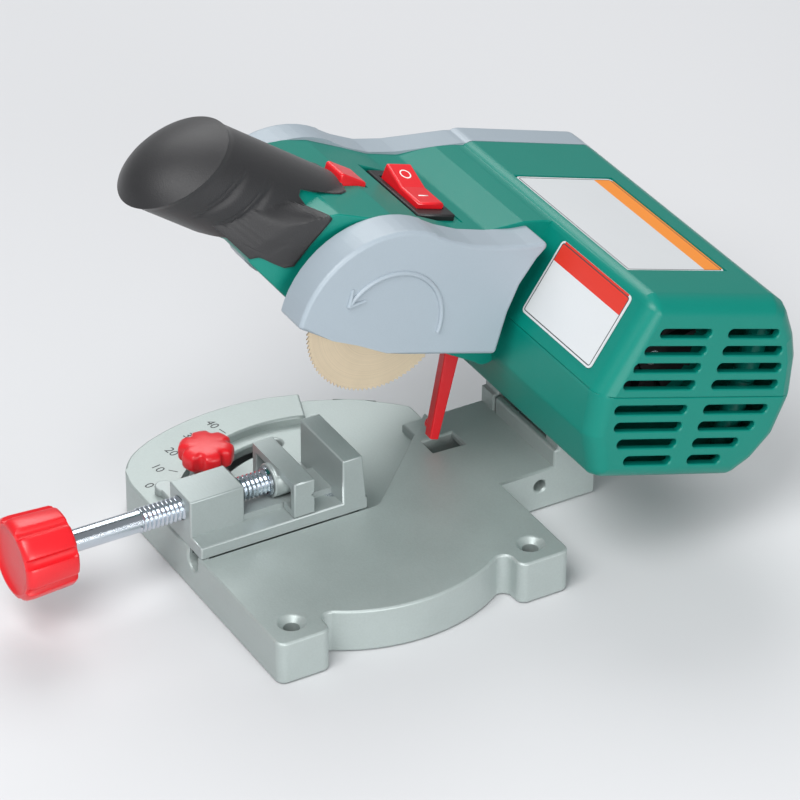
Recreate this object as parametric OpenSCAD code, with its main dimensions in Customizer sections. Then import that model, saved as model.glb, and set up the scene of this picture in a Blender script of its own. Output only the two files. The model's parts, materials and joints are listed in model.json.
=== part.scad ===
// Mini cut-off saw with a swivelling mitre vise and a belt-driven blade.
// The origin lies on the bench midway between the two bench bolts, +Z is up,
// the vise screw points to -Y and the motor's vented end to +X.

/* [Base casting] */
// Distance between the two bench bolts
bolt_spacing = 85; // [80:0.5:90]
// Distance from a bench bolt to the nearest edges of its ear
bolt_inset = 9.2; // [8:0.1:11]
// Diameter of the bench bolt holes
bolt_hole_d = 5.2; // [4.2:0.1:6.2]
// Diameter of the countersinks
bolt_sink_d = 9.4; // [8.5:0.1:11]
// Height of the table above the bench
table_h = 15; // [14:0.25:18]
// Radius of the table's right side
table_r = 56.6; // [55:0.2:58]
// Radius of the rim on the left side
rim_r = 78; // [77:0.25:80]
// Depth of the vise pocket in the table
pocket_depth = 3; // [2:0.25:3.5]
// Radius of the vise pocket about the swivel
pocket_r = 50; // [49:0.25:51]
// Height of the hollow under the table
hollow_h = 8.5; // [7:0.25:9]
// Thickness of the casting's side walls
base_wall = 5; // [4:0.25:6]
// Width of the hinge tongue
tongue_w = 45.7; // [44:0.1:50]
// Diameter of the threaded hole in the side of the tongue
side_hole_d = 4.2; // [3.3:0.1:5]

/* [Hinge] */
// Height of the hinge pin above the bench
hinge_z = 24; // [23.5:0.25:26]
// Distance of the hinge pin behind the bolt line's middle
hinge_y = 80.25; // [80:0.25:81]
// Diameter of the hinge pin
hinge_pin_d = 6; // [5:0.25:7]
// Angle by which the raised head leans back
head_tilt = 17; // [15:0.5:18]
// Width of one hinge lug on the base
lug_w = 8; // [6:0.25:9]

/* [Mitre vise] */
// Width of the vise bed and its jaws
vise_w = 28; // [26:0.25:29]
// Length of the bed in front of the swivel
bed_front = 51.3; // [49:0.25:52]
// Length of the bed behind the swivel
bed_rear = 8; // [7:0.25:9]
// Thickness of the bed plate
bed_t = 4; // [3:0.25:5]
// Opening between the jaws
jaw_gap = 10; // [6:0.25:12]
// Height of the moving jaw above the bed
jaw_h = 12.5; // [11.5:0.25:14]
// Height of the fixed jaw above the bed
fixed_jaw_h = 16; // [14:0.25:16.5]
// Diameter of the vise screw's thread
screw_d = 8; // [7:0.25:8.5]
// Diameter of the vise screw's knob
screw_knob_d = 27; // [22:0.5:30]
// Diameter of the lock knob
lock_knob_d = 18; // [15:0.5:20]

/* [Blade and drive] */
// Diameter of the saw blade
blade_d = 50.8; // [48:0.2:51]
// Thickness of the saw blade
blade_t = 0.5; // [0.4:0.05:0.8]
// Number of teeth on the saw blade
blade_teeth = 100; // [60:2:120]
// Diameter of the blade's seat on the spindle
blade_bore_d = 10; // [9.5:0.25:11]
// Diameter of the spindle in its bearings
spindle_d = 8; // [7:0.25:8.5]
// Diameter of the motor's can
motor_d = 42; // [38:0.5:43]
// Length of the motor's can
motor_l = 68; // [60:0.5:70]
// Diameter of the motor pulley under the belt
motor_pulley_d = 13; // [11:0.25:15]
// Diameter of the spindle pulley under the belt
spindle_pulley_d = 20; // [17:0.25:22]
// Width of the drive belt
belt_w = 5; // [4:0.25:5.5]
// Thickness of the drive belt
belt_t = 1.8; // [1.2:0.1:2.2]

/* [Head shells] */
// Wall thickness of the moulded shells
shell_wall = 2.5; // [2:0.1:3]
// Width of the arm between its two side covers
arm_w = 55; // [54:0.25:56]
// Distance of the motor housing's vented end beyond the arm
motor_reach = 59; // [58:0.25:62]
// Height of the motor housing above the parting line
motor_up = 33; // [31:0.25:34]
// Depth of the motor housing below the parting line
motor_down = 30; // [28.5:0.25:30.5]
// Reach of the motor housing in front of the motor's axis
motor_fore = 38.6; // [37:0.2:39.5]
// Reach of the motor housing behind the motor's axis
motor_aft = 38.8; // [37:0.2:40]
// Depth of the blade guard
guard_depth = 12; // [11.5:0.25:13]
// Radius of the guard round the blade
guard_r = 32.3; // [31:0.1:33]
// Depth of the belt cover
belt_cover_depth = 11; // [10.5:0.25:12]
// Wall thickness of the guard and the belt cover
cover_wall = 2; // [1.6:0.1:2.4]
// Height of the vent slots
vent_h = 3.2; // [2.5:0.1:3.6]

/* [Handle, switch and trigger] */
// Diameter of the grip sleeve
grip_d = 34; // [33:0.25:35]
// Length of the grip from its root to its end
grip_l = 76; // [72:0.5:78]
// Angle of the handle above the head's own axis
grip_angle = 18.6; // [18:0.1:19]
// Thickness of the grip sleeve
sleeve_t = 1.6; // [1.2:0.1:1.8]
// Length of the switch bezel
switch_l = 32; // [30:0.25:33]
// Width of the switch bezel
switch_w = 14; // [13:0.25:15]
// Thickness of the trigger lever
lever_t = 3.6; // [3:0.1:4]

/* [Hidden] */
$fn = 64;

// Overrun of every cut past the face that it opens
over = 1;
// Running clearance of a shaft in its bore, all round
run_gap = 0.05;
// Clearance between parts that move past each other
move_gap = 0.4;
// Segments of rounded outlines
soft_fn = 32;

// Base places
base_half = bolt_spacing / 2 + bolt_inset;
ear_x = bolt_inset;
ear_l = 18.2;
ear_notch_x = 0.9;
ear_r = 3;
table_x = -46.9;
rim_x = -38.2;
rim_y = -5.75;
body_left = -91;
tongue_x0 = -78.5;
tongue_x1 = tongue_x0 + tongue_w;
lug_wall = 4.2;
lug_r = hinge_pin_d / 2 + lug_wall;
tongue_end = hinge_y + lug_r;
tongue_start = base_half - 2 * base_wall;
wall_y = 71.5;
wall_t = 2;
wall_h = 6;
bolt_boss_wall = 3;
bolt_boss_r = bolt_sink_d / 2 + bolt_boss_wall;
side_hole_y = 66.5;
side_hole_share = 0.61;
side_hole_z = table_h * side_hole_share;
side_hole_l = 12;
pocket_z = table_h - pocket_depth;
pocket_right = -41.6;
diagonal_y = 12;
rim_end_share = 0.35;
arch_w = 6.5;
arch_x = -47.4;
arch_h = 7;

// Vise places, about the swivel
swivel_x = -51;
swivel_y = 0;
swivel_screw_d = 8;
swivel_pad_r = pocket_right - swivel_x - 2 * move_gap;
swivel_head_r = 7;
swivel_head_t = 3;
bed_x = -56;
bed_gap = 0.3;
bed_z = table_h + bed_gap;
bed_top = bed_z + bed_t;
rail_w = 13;
rail_h = 2.2;
rail_top = bed_top + rail_h;
block_l = 19;
block_w = 14;
block_h = 13;
screw_up = 7.2;
screw_z = bed_top + screw_up;
jaw_face_y = -1;
jaw_t = 7.3;
jaw_wall = 2.6;
jaw_boss_r = 5.6;
jaw_boss_proud = 2;
jaw_y = jaw_face_y - jaw_gap - jaw_t;
jaw_slack = 0.35;
groove_d = 1.4;
fixed_jaw_t = 7;
fixed_jaw_foot_t = 8.5;
thread_end_y = jaw_y + jaw_t - jaw_wall;
shank_y = -67;
thread_proud = 0.4;
shank_d = screw_d - 2 * thread_proud;
knob_l = 18;
knob_y = -91.5;
knob_lobes = 8;
knob_lobe_r = 2.2;
knob_skirt_share = 0.9;
ring_t = 1;
ring_proud = 0.8;
ring_r = screw_d / 2 + ring_proud;
lock_x = -82;
lock_y = -28.5;
lock_r = norm([lock_x - swivel_x, lock_y - swivel_y]);
lock_angle = atan2(lock_y - swivel_y, lock_x - swivel_x);
lock_swing = 45;
lock_ear_r = 5.4;
stud_d = 5;
stud_head_r = 5;
stud_head_t = 3;
stud_gap = 0.25;
slot_w = stud_d + 2 * move_gap;
lock_knob_h = 9;
lock_lobes = 6;
lock_lobe_r = 3;
knob_roof = 2.5;
stud_top = bed_top + lock_knob_h - knob_roof;
pointer_x = -81.2;
pointer_y = -44.2;
pointer_r = 3;
pointer_w = 4;
pointer_t = 2.4;

// Trigger slot in the table
slot_x0 = -66.5;
slot_x1 = -58.5;
slot_y0 = 41.6;
slot_y1 = 53.2;
slot_lip = 2;
slot_under_y = 61;

// Head places: x across the head, u along it from the hinge, v up from the hinge
arm_x1 = -43;
arm_x0 = arm_x1 - arm_w;
motor_x1 = arm_x1 + motor_reach;
guard_x1 = arm_x1 + guard_depth;
belt_x0 = arm_x0 - belt_cover_depth;
parting_v = 40.3;
spindle_u = -86.7;
motor_u = 0.6;
belt_span = motor_u - spindle_u;
motor_top = parting_v + motor_up;
motor_bottom = parting_v - motor_down;
housing_soft = 5;
motor_outline_shares = [[-0.76, -1], [0.62, -1], [0.80, -0.8], [0.95, -0.48], [1, 0],
  [0.92, 0.42], [0.83, 0.65], [0.67, 0.92], [0.53, 1], [-0.73, 1], [-1, 0], [-0.95, -0.5]];
end_steps_shares = [[0, 0], [0.55, 0.22], [0.85, 0.55], [1, 1]];
end_round_x = 6.5;
end_round_in = 5.5;
arm_soft = 4;
// The arm's top dips behind the guard's round and rises to the motor housing
arm_drop = 1;
arm_top = guard_r - arm_drop;
arm_outline_shares = [[0.98, -0.86], [0.95, -0.62], [0.56, -0.46], [0.44, -0.26], [-0.30, -0.26],
  [-0.44, -0.10], [-0.70, 0.20], [-0.88, 0.40], [-0.66, 0.80], [-0.38, 0.98], [-0.02, 1],
  [0.25, 0.93], [0.45, 0.87], [0.68, 0.87], [0.95, 0.98], [1.10, 1], [1.30, 1]];
arm_l_share = 0.5785;
arm_l = belt_span * arm_l_share;
nose_share = 0.46;
nose_w_share = 0.56;
guard_top_shares = [[0.20, 0.975], [0.44, 0.905], [0.72, 0.86], [1.04, 0.855], [1.34, 0.875],
  [1.61, 0.925]];
guard_rear_shares = [[1.485, 0.73], [1.375, 0.45], [1.333, 0.15], [1.333, -0.30]];
guard_base_shares = [[0.53, -0.30], [0.05, -0.28], [-0.29, -0.20], [-0.60, -0.15]];
guard_arc_start = 75;
guard_arc_end = 182;
guard_soft = 1.5;
guard_mouth_gap = 1.5;
guard_arc_more = 12;
cover_top_shares = [[0.20, 0.975], [0.44, 0.905], [0.72, 0.86], [1.04, 0.875], [1.40, 0.93], [1.78, 0.99]];
cover_fore_r = 16;
cover_waist_share = 0.48;
hinge_web_w = 13;
knuckle_r = 6.5;
knuckle_gap = 0.5;
spring_seat = 11;

// Bearings, spindle and drive places
bearing_r = 8;
bearing_w = 5;
bearing_wall = 2.5;
motor_end_gap = 6;
motor_x0 = arm_x0 + shell_wall + motor_end_gap;
shaft_d = 5;
shaft_clear = 2;
spindle_clear = 1;
fan_r = 19;
fan_t = 7;
fan_blades = 9;
fan_blade_t = 1.6;
fan_hub_r = 5;
fan_root_r = 4;
fan_gap = 4;
pulley_gap = 0.8;
pulley_lip_t = 1;
belt_side_gap = 0.2;
pulley_l = belt_w + 2 * (pulley_lip_t + belt_side_gap);
pulley_lip = 2;
pulley_x0 = arm_x0 - pulley_gap - pulley_l;
belt_slack = 0.3;
blade_x = -37.5;
flange_r = 9;
inner_flange_t = 3;
outer_flange_t = 1.7;
arbor_head_t = 1.5;
arbor_head_lip = 1;
arbor_screw_d = 4;
arbor_screw_l = 12;
tooth_depth = 0.9;
tooth_share = 0.25;
cradle_t = 3;
cradle_shares = [0.1, 0.85];
post_r = 3.8;
screw_r = 1.5;
screw_head_r = 2.8;
screw_head_t = 2;
post_up = 9;
seat_up = 6;
cut_span = 4 * arm_w;
post_places = [[3, -26], [3, 27], [-91, 27]];
arm_post = [-86, -62];
guard_post_r = 3.4;
guard_posts = [[-51, 60], [-51, 37]];
cover_posts = [[-50, 56], [16, 66], [16, 16]];

// Handle, switch and trigger places
grip_x = -70.5;
grip_u = -93.5;
grip_v = 55.4;
grip_end_r = 10;
core_wall = 3;
core_share = 0.64;
fork_shares = [[-0.02, -0.30], [0.30, -0.02], [0.28, 0.16], [-0.02, 0.30]];
trigger_u0 = -94.5;
trigger_u1 = -84.5;
trigger_top = 75.4;
trigger_web_drop = 8;
trigger_slope = 3;
trigger_soft = 1;
trigger_w = 10;
trigger_gap = 0.6;
trigger_swing = 1.4;
lever_x = -63;
lever_u = -40;
lever_v = 50;
lever_boss_r = 5;
lever_neck_share = 0.9;
lever_pin_d = 3;
lever_arm_t = 6;
trigger_low = lever_v + lever_arm_t + 2 * trigger_soft;
foot_u = -33.3;
foot_v = -16.2;
foot_w = 3.5;
strut_u = -35.9;
strut_v = 12;
strut_w = 5.4;
toe_r = 2.3;
toe_up = 4;
toe_proud = 1.3;
lever_slot_u0 = -42;
lever_slot_u1 = -28;
lever_slot_gap = 1.4;
lever_low_v = lever_v - lever_boss_r;
lever_rise_u = -81;
switch_x = -66.8;
switch_u = -66.1;
switch_sink = 0.53;
arm_dip_share = 0.87;
switch_v = parting_v + arm_top * arm_dip_share - switch_sink;
bezel_t = 2;
bezel_rim = 0.9;
bezel_end = 4.2;
switch_depth = 13;
recess_gap = 2;
rocker_tilt = 8;
rocker_rise = 3;
rocker_gap = 0.5;
rocker_drop = 4;
rocker_pin_r = 0.6;
rocker_pin_in = 0.9;
rocker_pin_gap = 0.1;
gland_x = -60;
gland_v = 28;
gland_r = 5.5;
gland_l = 12;
gland_bore_r = 3.3;
gland_flange_r = 7.5;
gland_flange_t = 2;
gland_seat_share = 0.86;
gland_flange_share = 0.13;
label_x0 = -72.5;
label_x1 = -5.5;
label_u0 = -24.5;
label_u1 = 14.5;
label_depth = 0.8;
vent_rows_up = 4;
vent_rows_down = 4;
vent_pitch_share = 1.85;
vent_first_share = 1.35;
vent_rib = 6.5;
vent_fore_shares = [0.80, 0.76, 0.70, 0.60, 0.81, 0.76, 0.68, 0.56];
vent_aft_shares = [0.76, 0.74, 0.69, 0.60, 0.74, 0.66, 0.55, 0.42];
spring_wire = 1;
spring_sides = 6;
spring_rings = 12;
coil_start = -90;
hinge_spring_legs = [6, 7];
lever_spring_legs = [7, 7];
hinge_spring_gap = 1.6;
hinge_spring_r = hinge_pin_d / 2 + hinge_spring_gap;
hinge_spring_turns = 4.25;
lever_spring_wire = 0.8;
lever_spring_gap = 1.2;
lever_spring_r = lever_pin_d / 2 + lever_spring_gap;
lever_spring_turns = 4;
lever_spring_l = 7;
echo(str("head return spring, least gap to itself ",
  (spring_seat - 2 * spring_wire) / hinge_spring_turns - spring_wire, " mm"));
echo(str("lever return spring, least gap to itself ",
  lever_spring_l / lever_spring_turns - lever_spring_wire, " mm"));
clip_t = 1;
clip_proud = 2;
clip_r = hinge_pin_d / 2 + clip_proud;
pin_proud = 2;

// Colours as the photograph shows them
c_cast = [0.66, 0.70, 0.69];
c_steel = [0.72, 0.75, 0.78];
c_green = [0.05, 0.53, 0.47];
c_grey = [0.66, 0.71, 0.76];
c_red = [0.87, 0.14, 0.16];
c_black = [0.13, 0.13, 0.13];
c_brass = [0.80, 0.74, 0.62];
c_dark = [0.22, 0.23, 0.25];

// Outline helpers
module soften(r) offset(r, $fn = soft_fn) offset(-r) children();
module fillet(r) offset(-r, $fn = soft_fn) offset(r) children();
module across(x0, x1) translate([x0, 0, 0]) rotate([90, 0, 90]) linear_extrude(x1 - x0) children();
module in_head() translate([0, hinge_y, hinge_z]) rotate([-head_tilt, 0, 0]) children();
module rod(x0, x1, r, u = 0, v = 0) translate([x0, u, v]) rotate([0, 90, 0]) cylinder(h = x1 - x0, r = r);
function arc(c, r, a0, a1, n) = [for (i = [0 : n]) c + r * [cos(a0 + (a1 - a0) * i / n),
  sin(a0 + (a1 - a0) * i / n)]];

// One wound wire about the X axis with a straight leg at each end, as one swept tube
function coil_at(i, r, turns, l, legs) =
  let (n = turns * spring_rings, j = min(max(i, 0), n), a = coil_start + 360 * j / spring_rings)
  [[l * j / n, r * cos(a), r * sin(a)] + (i < 0 ? -legs[0] : i > n ? legs[1] : 0) * [0, -sin(a), cos(a)],
    a];
function coil_points(r, wire, turns, l, legs) = [for (i = [-1 : turns * spring_rings + 1])
  for (k = [0 : spring_sides - 1])
    let (p = coil_at(i, r, turns, l, legs), b = 360 * k / spring_sides)
      p[0] + wire / 2 * [sin(b), cos(b) * cos(p[1]), cos(b) * sin(p[1])]];
function coil_faces(n) = concat(
  [[for (k = [0 : spring_sides - 1]) k]],
  [for (i = [0 : n - 1]) for (k = [0 : spring_sides - 1]) for (h = [0, 1])
    let (a = i * spring_sides + k, b = i * spring_sides + (k + 1) % spring_sides, c = a + spring_sides,
      d = b + spring_sides)
      h == 0 ? [a, c, b] : [b, c, d]],
  [[for (k = [spring_sides - 1 : -1 : 0]) n * spring_sides + k]]);
module coil(r, wire, turns, l, legs)
  polyhedron(coil_points(r, wire, turns, l, legs), coil_faces(turns * spring_rings + 2));

// Base outline with its two ears, round table and rim
module table_outline() fillet(ear_r) soften(ear_r) {
  intersection() {
    union() {
      translate([table_x, 0]) circle(table_r);
      translate([rim_x, rim_y]) circle(rim_r);
    }
    translate([rim_x - rim_r, -base_half]) square([rim_r - rim_x + table_x + table_r, 2 * base_half]);
    union() {
      translate([table_x, 0]) circle(table_r);
      translate([rim_x - rim_r, -base_half]) square([rim_r, 2 * base_half]);
    }
  }
  translate([body_left, -base_half]) square([ear_notch_x - body_left, 2 * base_half]);
  for (y = [-base_half, base_half - ear_l]) translate([body_left, y]) square([ear_x - body_left, ear_l]);
}

module pocket_outline() intersection() {
  union() {
    translate([swivel_x, swivel_y]) circle(pocket_r);
    polygon([[swivel_x, swivel_y], [swivel_x - 2 * rim_r, swivel_y + 2 * rim_r * rim_end_share],
      [swivel_x - 2 * rim_r, 2 * base_half], [pocket_right - base_half, diagonal_y + base_half],
      [pocket_right, diagonal_y]]);
  }
  polygon([[pocket_right, -base_half], [pocket_right, diagonal_y],
    [pocket_right - 2 * base_half, diagonal_y + 2 * base_half], [-3 * rim_r, 2 * base_half],
      [-3 * rim_r, -base_half]]);
}

module bolt_holes() for (s = [-1, 1]) translate([0, s * bolt_spacing / 2, 0]) {
  translate([0, 0, -over]) cylinder(h = table_h + 2 * over, d = bolt_hole_d);
  translate([0, 0, table_h - (bolt_sink_d - bolt_hole_d) / 2])
    cylinder(h = (bolt_sink_d - bolt_hole_d) / 2 + over, d1 = bolt_hole_d, d2 = bolt_sink_d + 2 * over);
}

module hinge_lug() {
  translate([0, hinge_y, hinge_z]) rotate([0, 90, 0]) cylinder(h = lug_w, r = lug_r);
  translate([0, hinge_y - lug_r, 0]) cube([lug_w, 2 * lug_r, hinge_z]);
}

module base_casting() color(c_cast) difference() {
  union() {
    difference() {
      linear_extrude(table_h) table_outline();
      translate([0, 0, pocket_z]) linear_extrude(table_h) pocket_outline();
      translate([0, 0, -over]) linear_extrude(hollow_h + over) difference() {
        offset(delta = -base_wall) table_outline();
        for (s = [-1, 1]) translate([0, s * bolt_spacing / 2]) circle(bolt_boss_r);
        translate([tongue_x0, tongue_start - base_wall]) square([tongue_w, base_half]);
      }
    }
    translate([tongue_x0, tongue_start, 0]) cube([tongue_w, tongue_end - tongue_start, table_h]);
    translate([tongue_x0, wall_y, 0]) cube([tongue_w, wall_t, table_h + wall_h]);
    for (x = [tongue_x0, tongue_x1 - lug_w]) translate([x, 0, 0]) hinge_lug();
  }
  bolt_holes();
  translate([tongue_x0 - over, hinge_y, hinge_z]) rotate([0, 90, 0])
    cylinder(h = tongue_w + 2 * over, d = hinge_pin_d);
  translate([tongue_x0 + lug_w, wall_y - over, table_h])
    cube([knuckle_gap * 2, wall_t + 2 * over, wall_h + over]);
  translate([tongue_x1 - side_hole_l, side_hole_y, side_hole_z])
    rotate([0, 90, 0]) cylinder(h = side_hole_l + over, d = side_hole_d);
  translate([swivel_x, swivel_y, -over]) cylinder(h = table_h + 2 * over, d = swivel_screw_d + 2 * run_gap);
  translate([swivel_x, swivel_y, -over]) rotate(lock_angle - lock_swing)
    rotate_extrude(angle = lock_swing) translate([lock_r - slot_w / 2, 0])
      square([slot_w, table_h + 2 * over]);
  for (a = [lock_angle - lock_swing, lock_angle]) translate([swivel_x, swivel_y, -over]) rotate(a)
    translate([lock_r, 0, 0]) cylinder(h = table_h + 2 * over, d = slot_w);
  translate([slot_x0, slot_y0, -over]) cube([slot_x1 - slot_x0, slot_y1 - slot_y0, table_h + 2 * over]);
  translate([slot_x0, slot_y0, -over])
    cube([slot_x1 - slot_x0, slot_under_y - slot_y0, table_h - slot_lip + over]);
  translate([arch_x - arch_w / 2, -base_half - over, table_h - arch_h + arch_w / 2])
    cube([arch_w, base_wall + over, arch_h]);
  translate([arch_x, -base_half - over, table_h - arch_h + arch_w / 2])
    rotate([-90, 0, 0]) cylinder(h = base_wall + over, d = arch_w);
}

module hinge_pin() color(c_steel) translate([tongue_x0 - pin_proud, hinge_y, hinge_z])
  rotate([0, 90, 0]) cylinder(h = tongue_w + 2 * pin_proud, d = hinge_pin_d);

module hinge_pin_clips() color(c_dark)
  for (x = [tongue_x0 - clip_t, tongue_x1]) translate([x, hinge_y, hinge_z]) rotate([0, 90, 0])
    difference() {
    cylinder(h = clip_t, r = clip_r);
    translate([0, 0, -over]) cylinder(h = clip_t + 2 * over, d = hinge_pin_d);
  }

spring_mid_x = tongue_x0 + tongue_w / 2;
module head_return_spring() color(c_steel)
  translate([spring_mid_x - spring_seat / 2 + spring_wire, hinge_y, hinge_z])
    coil(hinge_spring_r, spring_wire, hinge_spring_turns, spring_seat - 2 * spring_wire, hinge_spring_legs);

// Vise, drawn at its rest angle of zero
module fixed_jaw_outline() polygon([[jaw_face_y, 0], [jaw_face_y, fixed_jaw_h],
  [jaw_face_y + fixed_jaw_t, fixed_jaw_h], [jaw_face_y + fixed_jaw_foot_t, 0]]);

module vise_bed() color(c_cast) difference() {
  union() {
    translate([bed_x - vise_w / 2, -bed_front, bed_z]) cube([vise_w, bed_front + bed_rear, bed_t]);
    translate([bed_x - rail_w / 2, -bed_front, bed_z])
      cube([rail_w, bed_front + jaw_face_y + fixed_jaw_t, bed_t + rail_h]);
    translate([bed_x - block_w / 2, -bed_front, bed_z]) cube([block_w, block_l, bed_t + block_h]);
    translate([bed_x - vise_w / 2, 0, bed_top]) rotate([90, 0, 90])
      linear_extrude(vise_w) fixed_jaw_outline();
    translate([swivel_x, swivel_y, pocket_z + bed_gap]) cylinder(h = bed_z - pocket_z, r = swivel_pad_r);
    translate([lock_x, lock_y, bed_z]) cylinder(h = bed_t, r = lock_ear_r);
    translate([lock_x, lock_y - lock_ear_r, bed_z]) cube([bed_x - lock_x, 2 * lock_ear_r, bed_t]);
  }
  translate([bed_x, -bed_front - over, screw_z]) rotate([-90, 0, 0])
    cylinder(h = block_l + 2 * over, d = screw_d + 2 * run_gap);
  translate([swivel_x, swivel_y, 0]) cylinder(h = bed_top, d = swivel_screw_d);
  translate([lock_x, lock_y, 0]) cylinder(h = bed_top + over, d = stud_d);
}

module vise_pivot_screw() color(c_steel) translate([swivel_x, swivel_y, 0]) {
  translate([0, 0, hollow_h - bed_gap - swivel_head_t]) cylinder(h = swivel_head_t, r = swivel_head_r);
  translate([0, 0, hollow_h - bed_gap - swivel_head_t])
    cylinder(h = bed_top - hollow_h + bed_gap + swivel_head_t, d = swivel_screw_d);
}

module angle_pointer() color(c_cast) {
  translate([pointer_x, pointer_y, bed_z]) cylinder(h = pointer_t, r = pointer_r);
  translate([pointer_x, pointer_y, bed_z]) linear_extrude(pointer_t)
    polygon([[0, -pointer_w / 2], [bed_x - vise_w / 2 - pointer_x, -pointer_w / 2],
      [bed_x - vise_w / 2 - pointer_x, pointer_w], [0, pointer_w / 2]]);
}

module lock_stud() color(c_steel) translate([lock_x, lock_y, 0]) {
  translate([0, 0, hollow_h - stud_gap - stud_head_t]) cylinder(h = stud_head_t, r = stud_head_r);
  translate([0, 0, hollow_h - stud_gap - stud_head_t])
    cylinder(h = stud_top - hollow_h + stud_gap + stud_head_t, d = stud_d);
}

// A knob with lobes round its rim, standing on z = 0
module lobed_knob(d, h, lobes, lobe_r) {
  cylinder(h = h, d = d - 2 * lobe_r);
  for (i = [0 : lobes - 1]) rotate(360 * i / lobes) translate([d / 2 - lobe_r, 0, 0])
    cylinder(h = h, r = lobe_r);
}

module lock_knob() color(c_red) translate([lock_x, lock_y, bed_top + bed_gap]) difference() {
  lobed_knob(lock_knob_d, lock_knob_h, lock_lobes, lock_lobe_r);
  translate([0, 0, -over]) cylinder(h = stud_top - bed_top + over, d = stud_d + 2 * run_gap);
}

module moving_jaw() color(c_cast) difference() {
  union() {
    difference() {
      translate([bed_x - vise_w / 2, jaw_y, bed_top + jaw_slack]) cube([vise_w, jaw_t, jaw_h]);
      translate([bed_x - vise_w / 2 + jaw_wall, jaw_y - over, rail_top + jaw_slack])
        cube([vise_w - 2 * jaw_wall, jaw_t - jaw_wall + over, jaw_h - rail_h - jaw_wall]);
    }
    translate([bed_x, jaw_y - jaw_boss_proud, screw_z]) rotate([-90, 0, 0]) intersection() {
      cylinder(h = jaw_t + jaw_boss_proud - jaw_wall / 2, r = jaw_boss_r);
      translate([-jaw_boss_r, -2 * jaw_boss_r, 0])
        cube([2 * jaw_boss_r, 2 * jaw_boss_r + screw_z - rail_top - jaw_slack, jaw_t + jaw_boss_proud]);
    }
  }
  translate([bed_x - rail_w / 2 - jaw_slack, jaw_y - over, bed_top])
    cube([rail_w + 2 * jaw_slack, jaw_t + 2 * over, rail_h + jaw_slack]);
  translate([bed_x, jaw_y - jaw_boss_proud - over, screw_z]) rotate([-90, 0, 0])
    cylinder(h = thread_end_y - jaw_y + jaw_boss_proud + over, d = screw_d + 2 * run_gap);
  translate([bed_x - vise_w / 2 - over, jaw_y + jaw_t, screw_z]) rotate([45, 0, 0])
    translate([0, -groove_d / 2, -groove_d / 2]) cube([vise_w + 2 * over, groove_d, groove_d]);
}

module vise_screw() color(c_steel) translate([bed_x, 0, screw_z]) {
  translate([0, shank_y, 0]) rotate([-90, 0, 0])
    cylinder(h = thread_end_y - bed_gap - shank_y, d = screw_d);
  translate([0, knob_y - knob_l / 2, 0]) rotate([-90, 0, 0])
    cylinder(h = shank_y - knob_y + knob_l / 2, d = shank_d);
}

module screw_knob() color(c_red) translate([bed_x, knob_y, screw_z]) rotate([90, 0, 0]) difference() {
  union() {
    lobed_knob(screw_knob_d, knob_l, knob_lobes, knob_lobe_r);
    cylinder(h = knob_l, d = screw_knob_d * knob_skirt_share);
  }
  translate([0, 0, -over]) cylinder(h = knob_l / 2 + over, d = shank_d);
}

module screw_retaining_ring() color(c_dark)
  translate([bed_x, jaw_y - jaw_boss_proud - bed_gap - ring_t, screw_z])
  rotate([-90, 0, 0]) difference() {
    cylinder(h = ring_t, r = ring_r);
    translate([0, 0, -over]) cylinder(h = ring_t + 2 * over, d = screw_d);
  }

// Head outlines in u and v
module motor_outline() soften(housing_soft) polygon([for (s = motor_outline_shares)
  [motor_u + s[0] * (s[0] < 0 ? motor_fore : motor_aft),
    parting_v + s[1] * (s[1] < 0 ? motor_down : motor_up)]]);
module arm_outline() soften(arm_soft) fillet(arm_soft)
  polygon([for (s = arm_outline_shares) [spindle_u + s[0] * arm_l, parting_v + s[1] * arm_top]]);
module guard_outline() soften(guard_soft) fillet(guard_soft) polygon(concat(
  [for (i = [len(guard_base_shares) - 1 : -1 : 0]) [spindle_u, parting_v] + guard_r * guard_base_shares[i]],
  [for (i = [len(guard_rear_shares) - 1 : -1 : 0]) [spindle_u, parting_v] + guard_r * guard_rear_shares[i]],
  [for (i = [len(guard_top_shares) - 1 : -1 : 0]) [spindle_u, parting_v] + guard_r * guard_top_shares[i]],
  arc([spindle_u, parting_v], guard_r, guard_arc_start, guard_arc_end, soft_fn / 2)));
module cover_outline() soften(guard_soft) fillet(guard_soft) {
  motor_outline();
  polygon(concat(
    [[spindle_u + belt_span * cover_waist_share, parting_v - cover_fore_r], [motor_u, motor_bottom],
      [motor_u, motor_top]],
    [for (i = [len(cover_top_shares) - 1 : -1 : 0]) [spindle_u, parting_v] + guard_r * cover_top_shares[i]],
    arc([spindle_u, parting_v], guard_r, guard_arc_start, guard_arc_end, soft_fn / 2),
    arc([spindle_u, parting_v], cover_fore_r, guard_arc_end,
      guard_arc_end + guard_arc_start + guard_arc_more, soft_fn / 4)));
}

// The arm narrows to the handle at its front, seen from above
module arm_plan() polygon([[arm_x0, 0], [arm_x1, 0], [arm_x1, spindle_u - arm_l * nose_share * nose_share],
  [grip_x + arm_w / 2 * nose_w_share, spindle_u - arm_l],
    [grip_x - arm_w / 2 * nose_w_share, spindle_u - arm_l],
  [arm_x0, spindle_u - arm_l * nose_share * nose_share]]);

module in_grip() translate([grip_x, grip_u, grip_v]) rotate([-grip_angle, 0, 0])
  rotate([90, 0, 0]) children();

module motor_block(inset) hull() for (s = end_steps_shares)
  across(arm_x0 + inset, motor_x1 - inset - end_round_x * (1 - s[0]))
    offset(delta = -inset - end_round_in * s[1]) motor_outline();
module arm_block(inset) intersection() {
  across(arm_x0 + inset, arm_x1 - inset) offset(delta = -inset) arm_outline();
  translate([0, 0, 0]) linear_extrude(motor_top) offset(delta = -inset) arm_plan();
}
module core_block(inset) in_grip() translate([0, 0, -grip_d / 2])
  cylinder(h = grip_l * core_share + grip_d / 2 - inset, d = grip_d - 2 * sleeve_t - 2 * inset);

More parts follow.
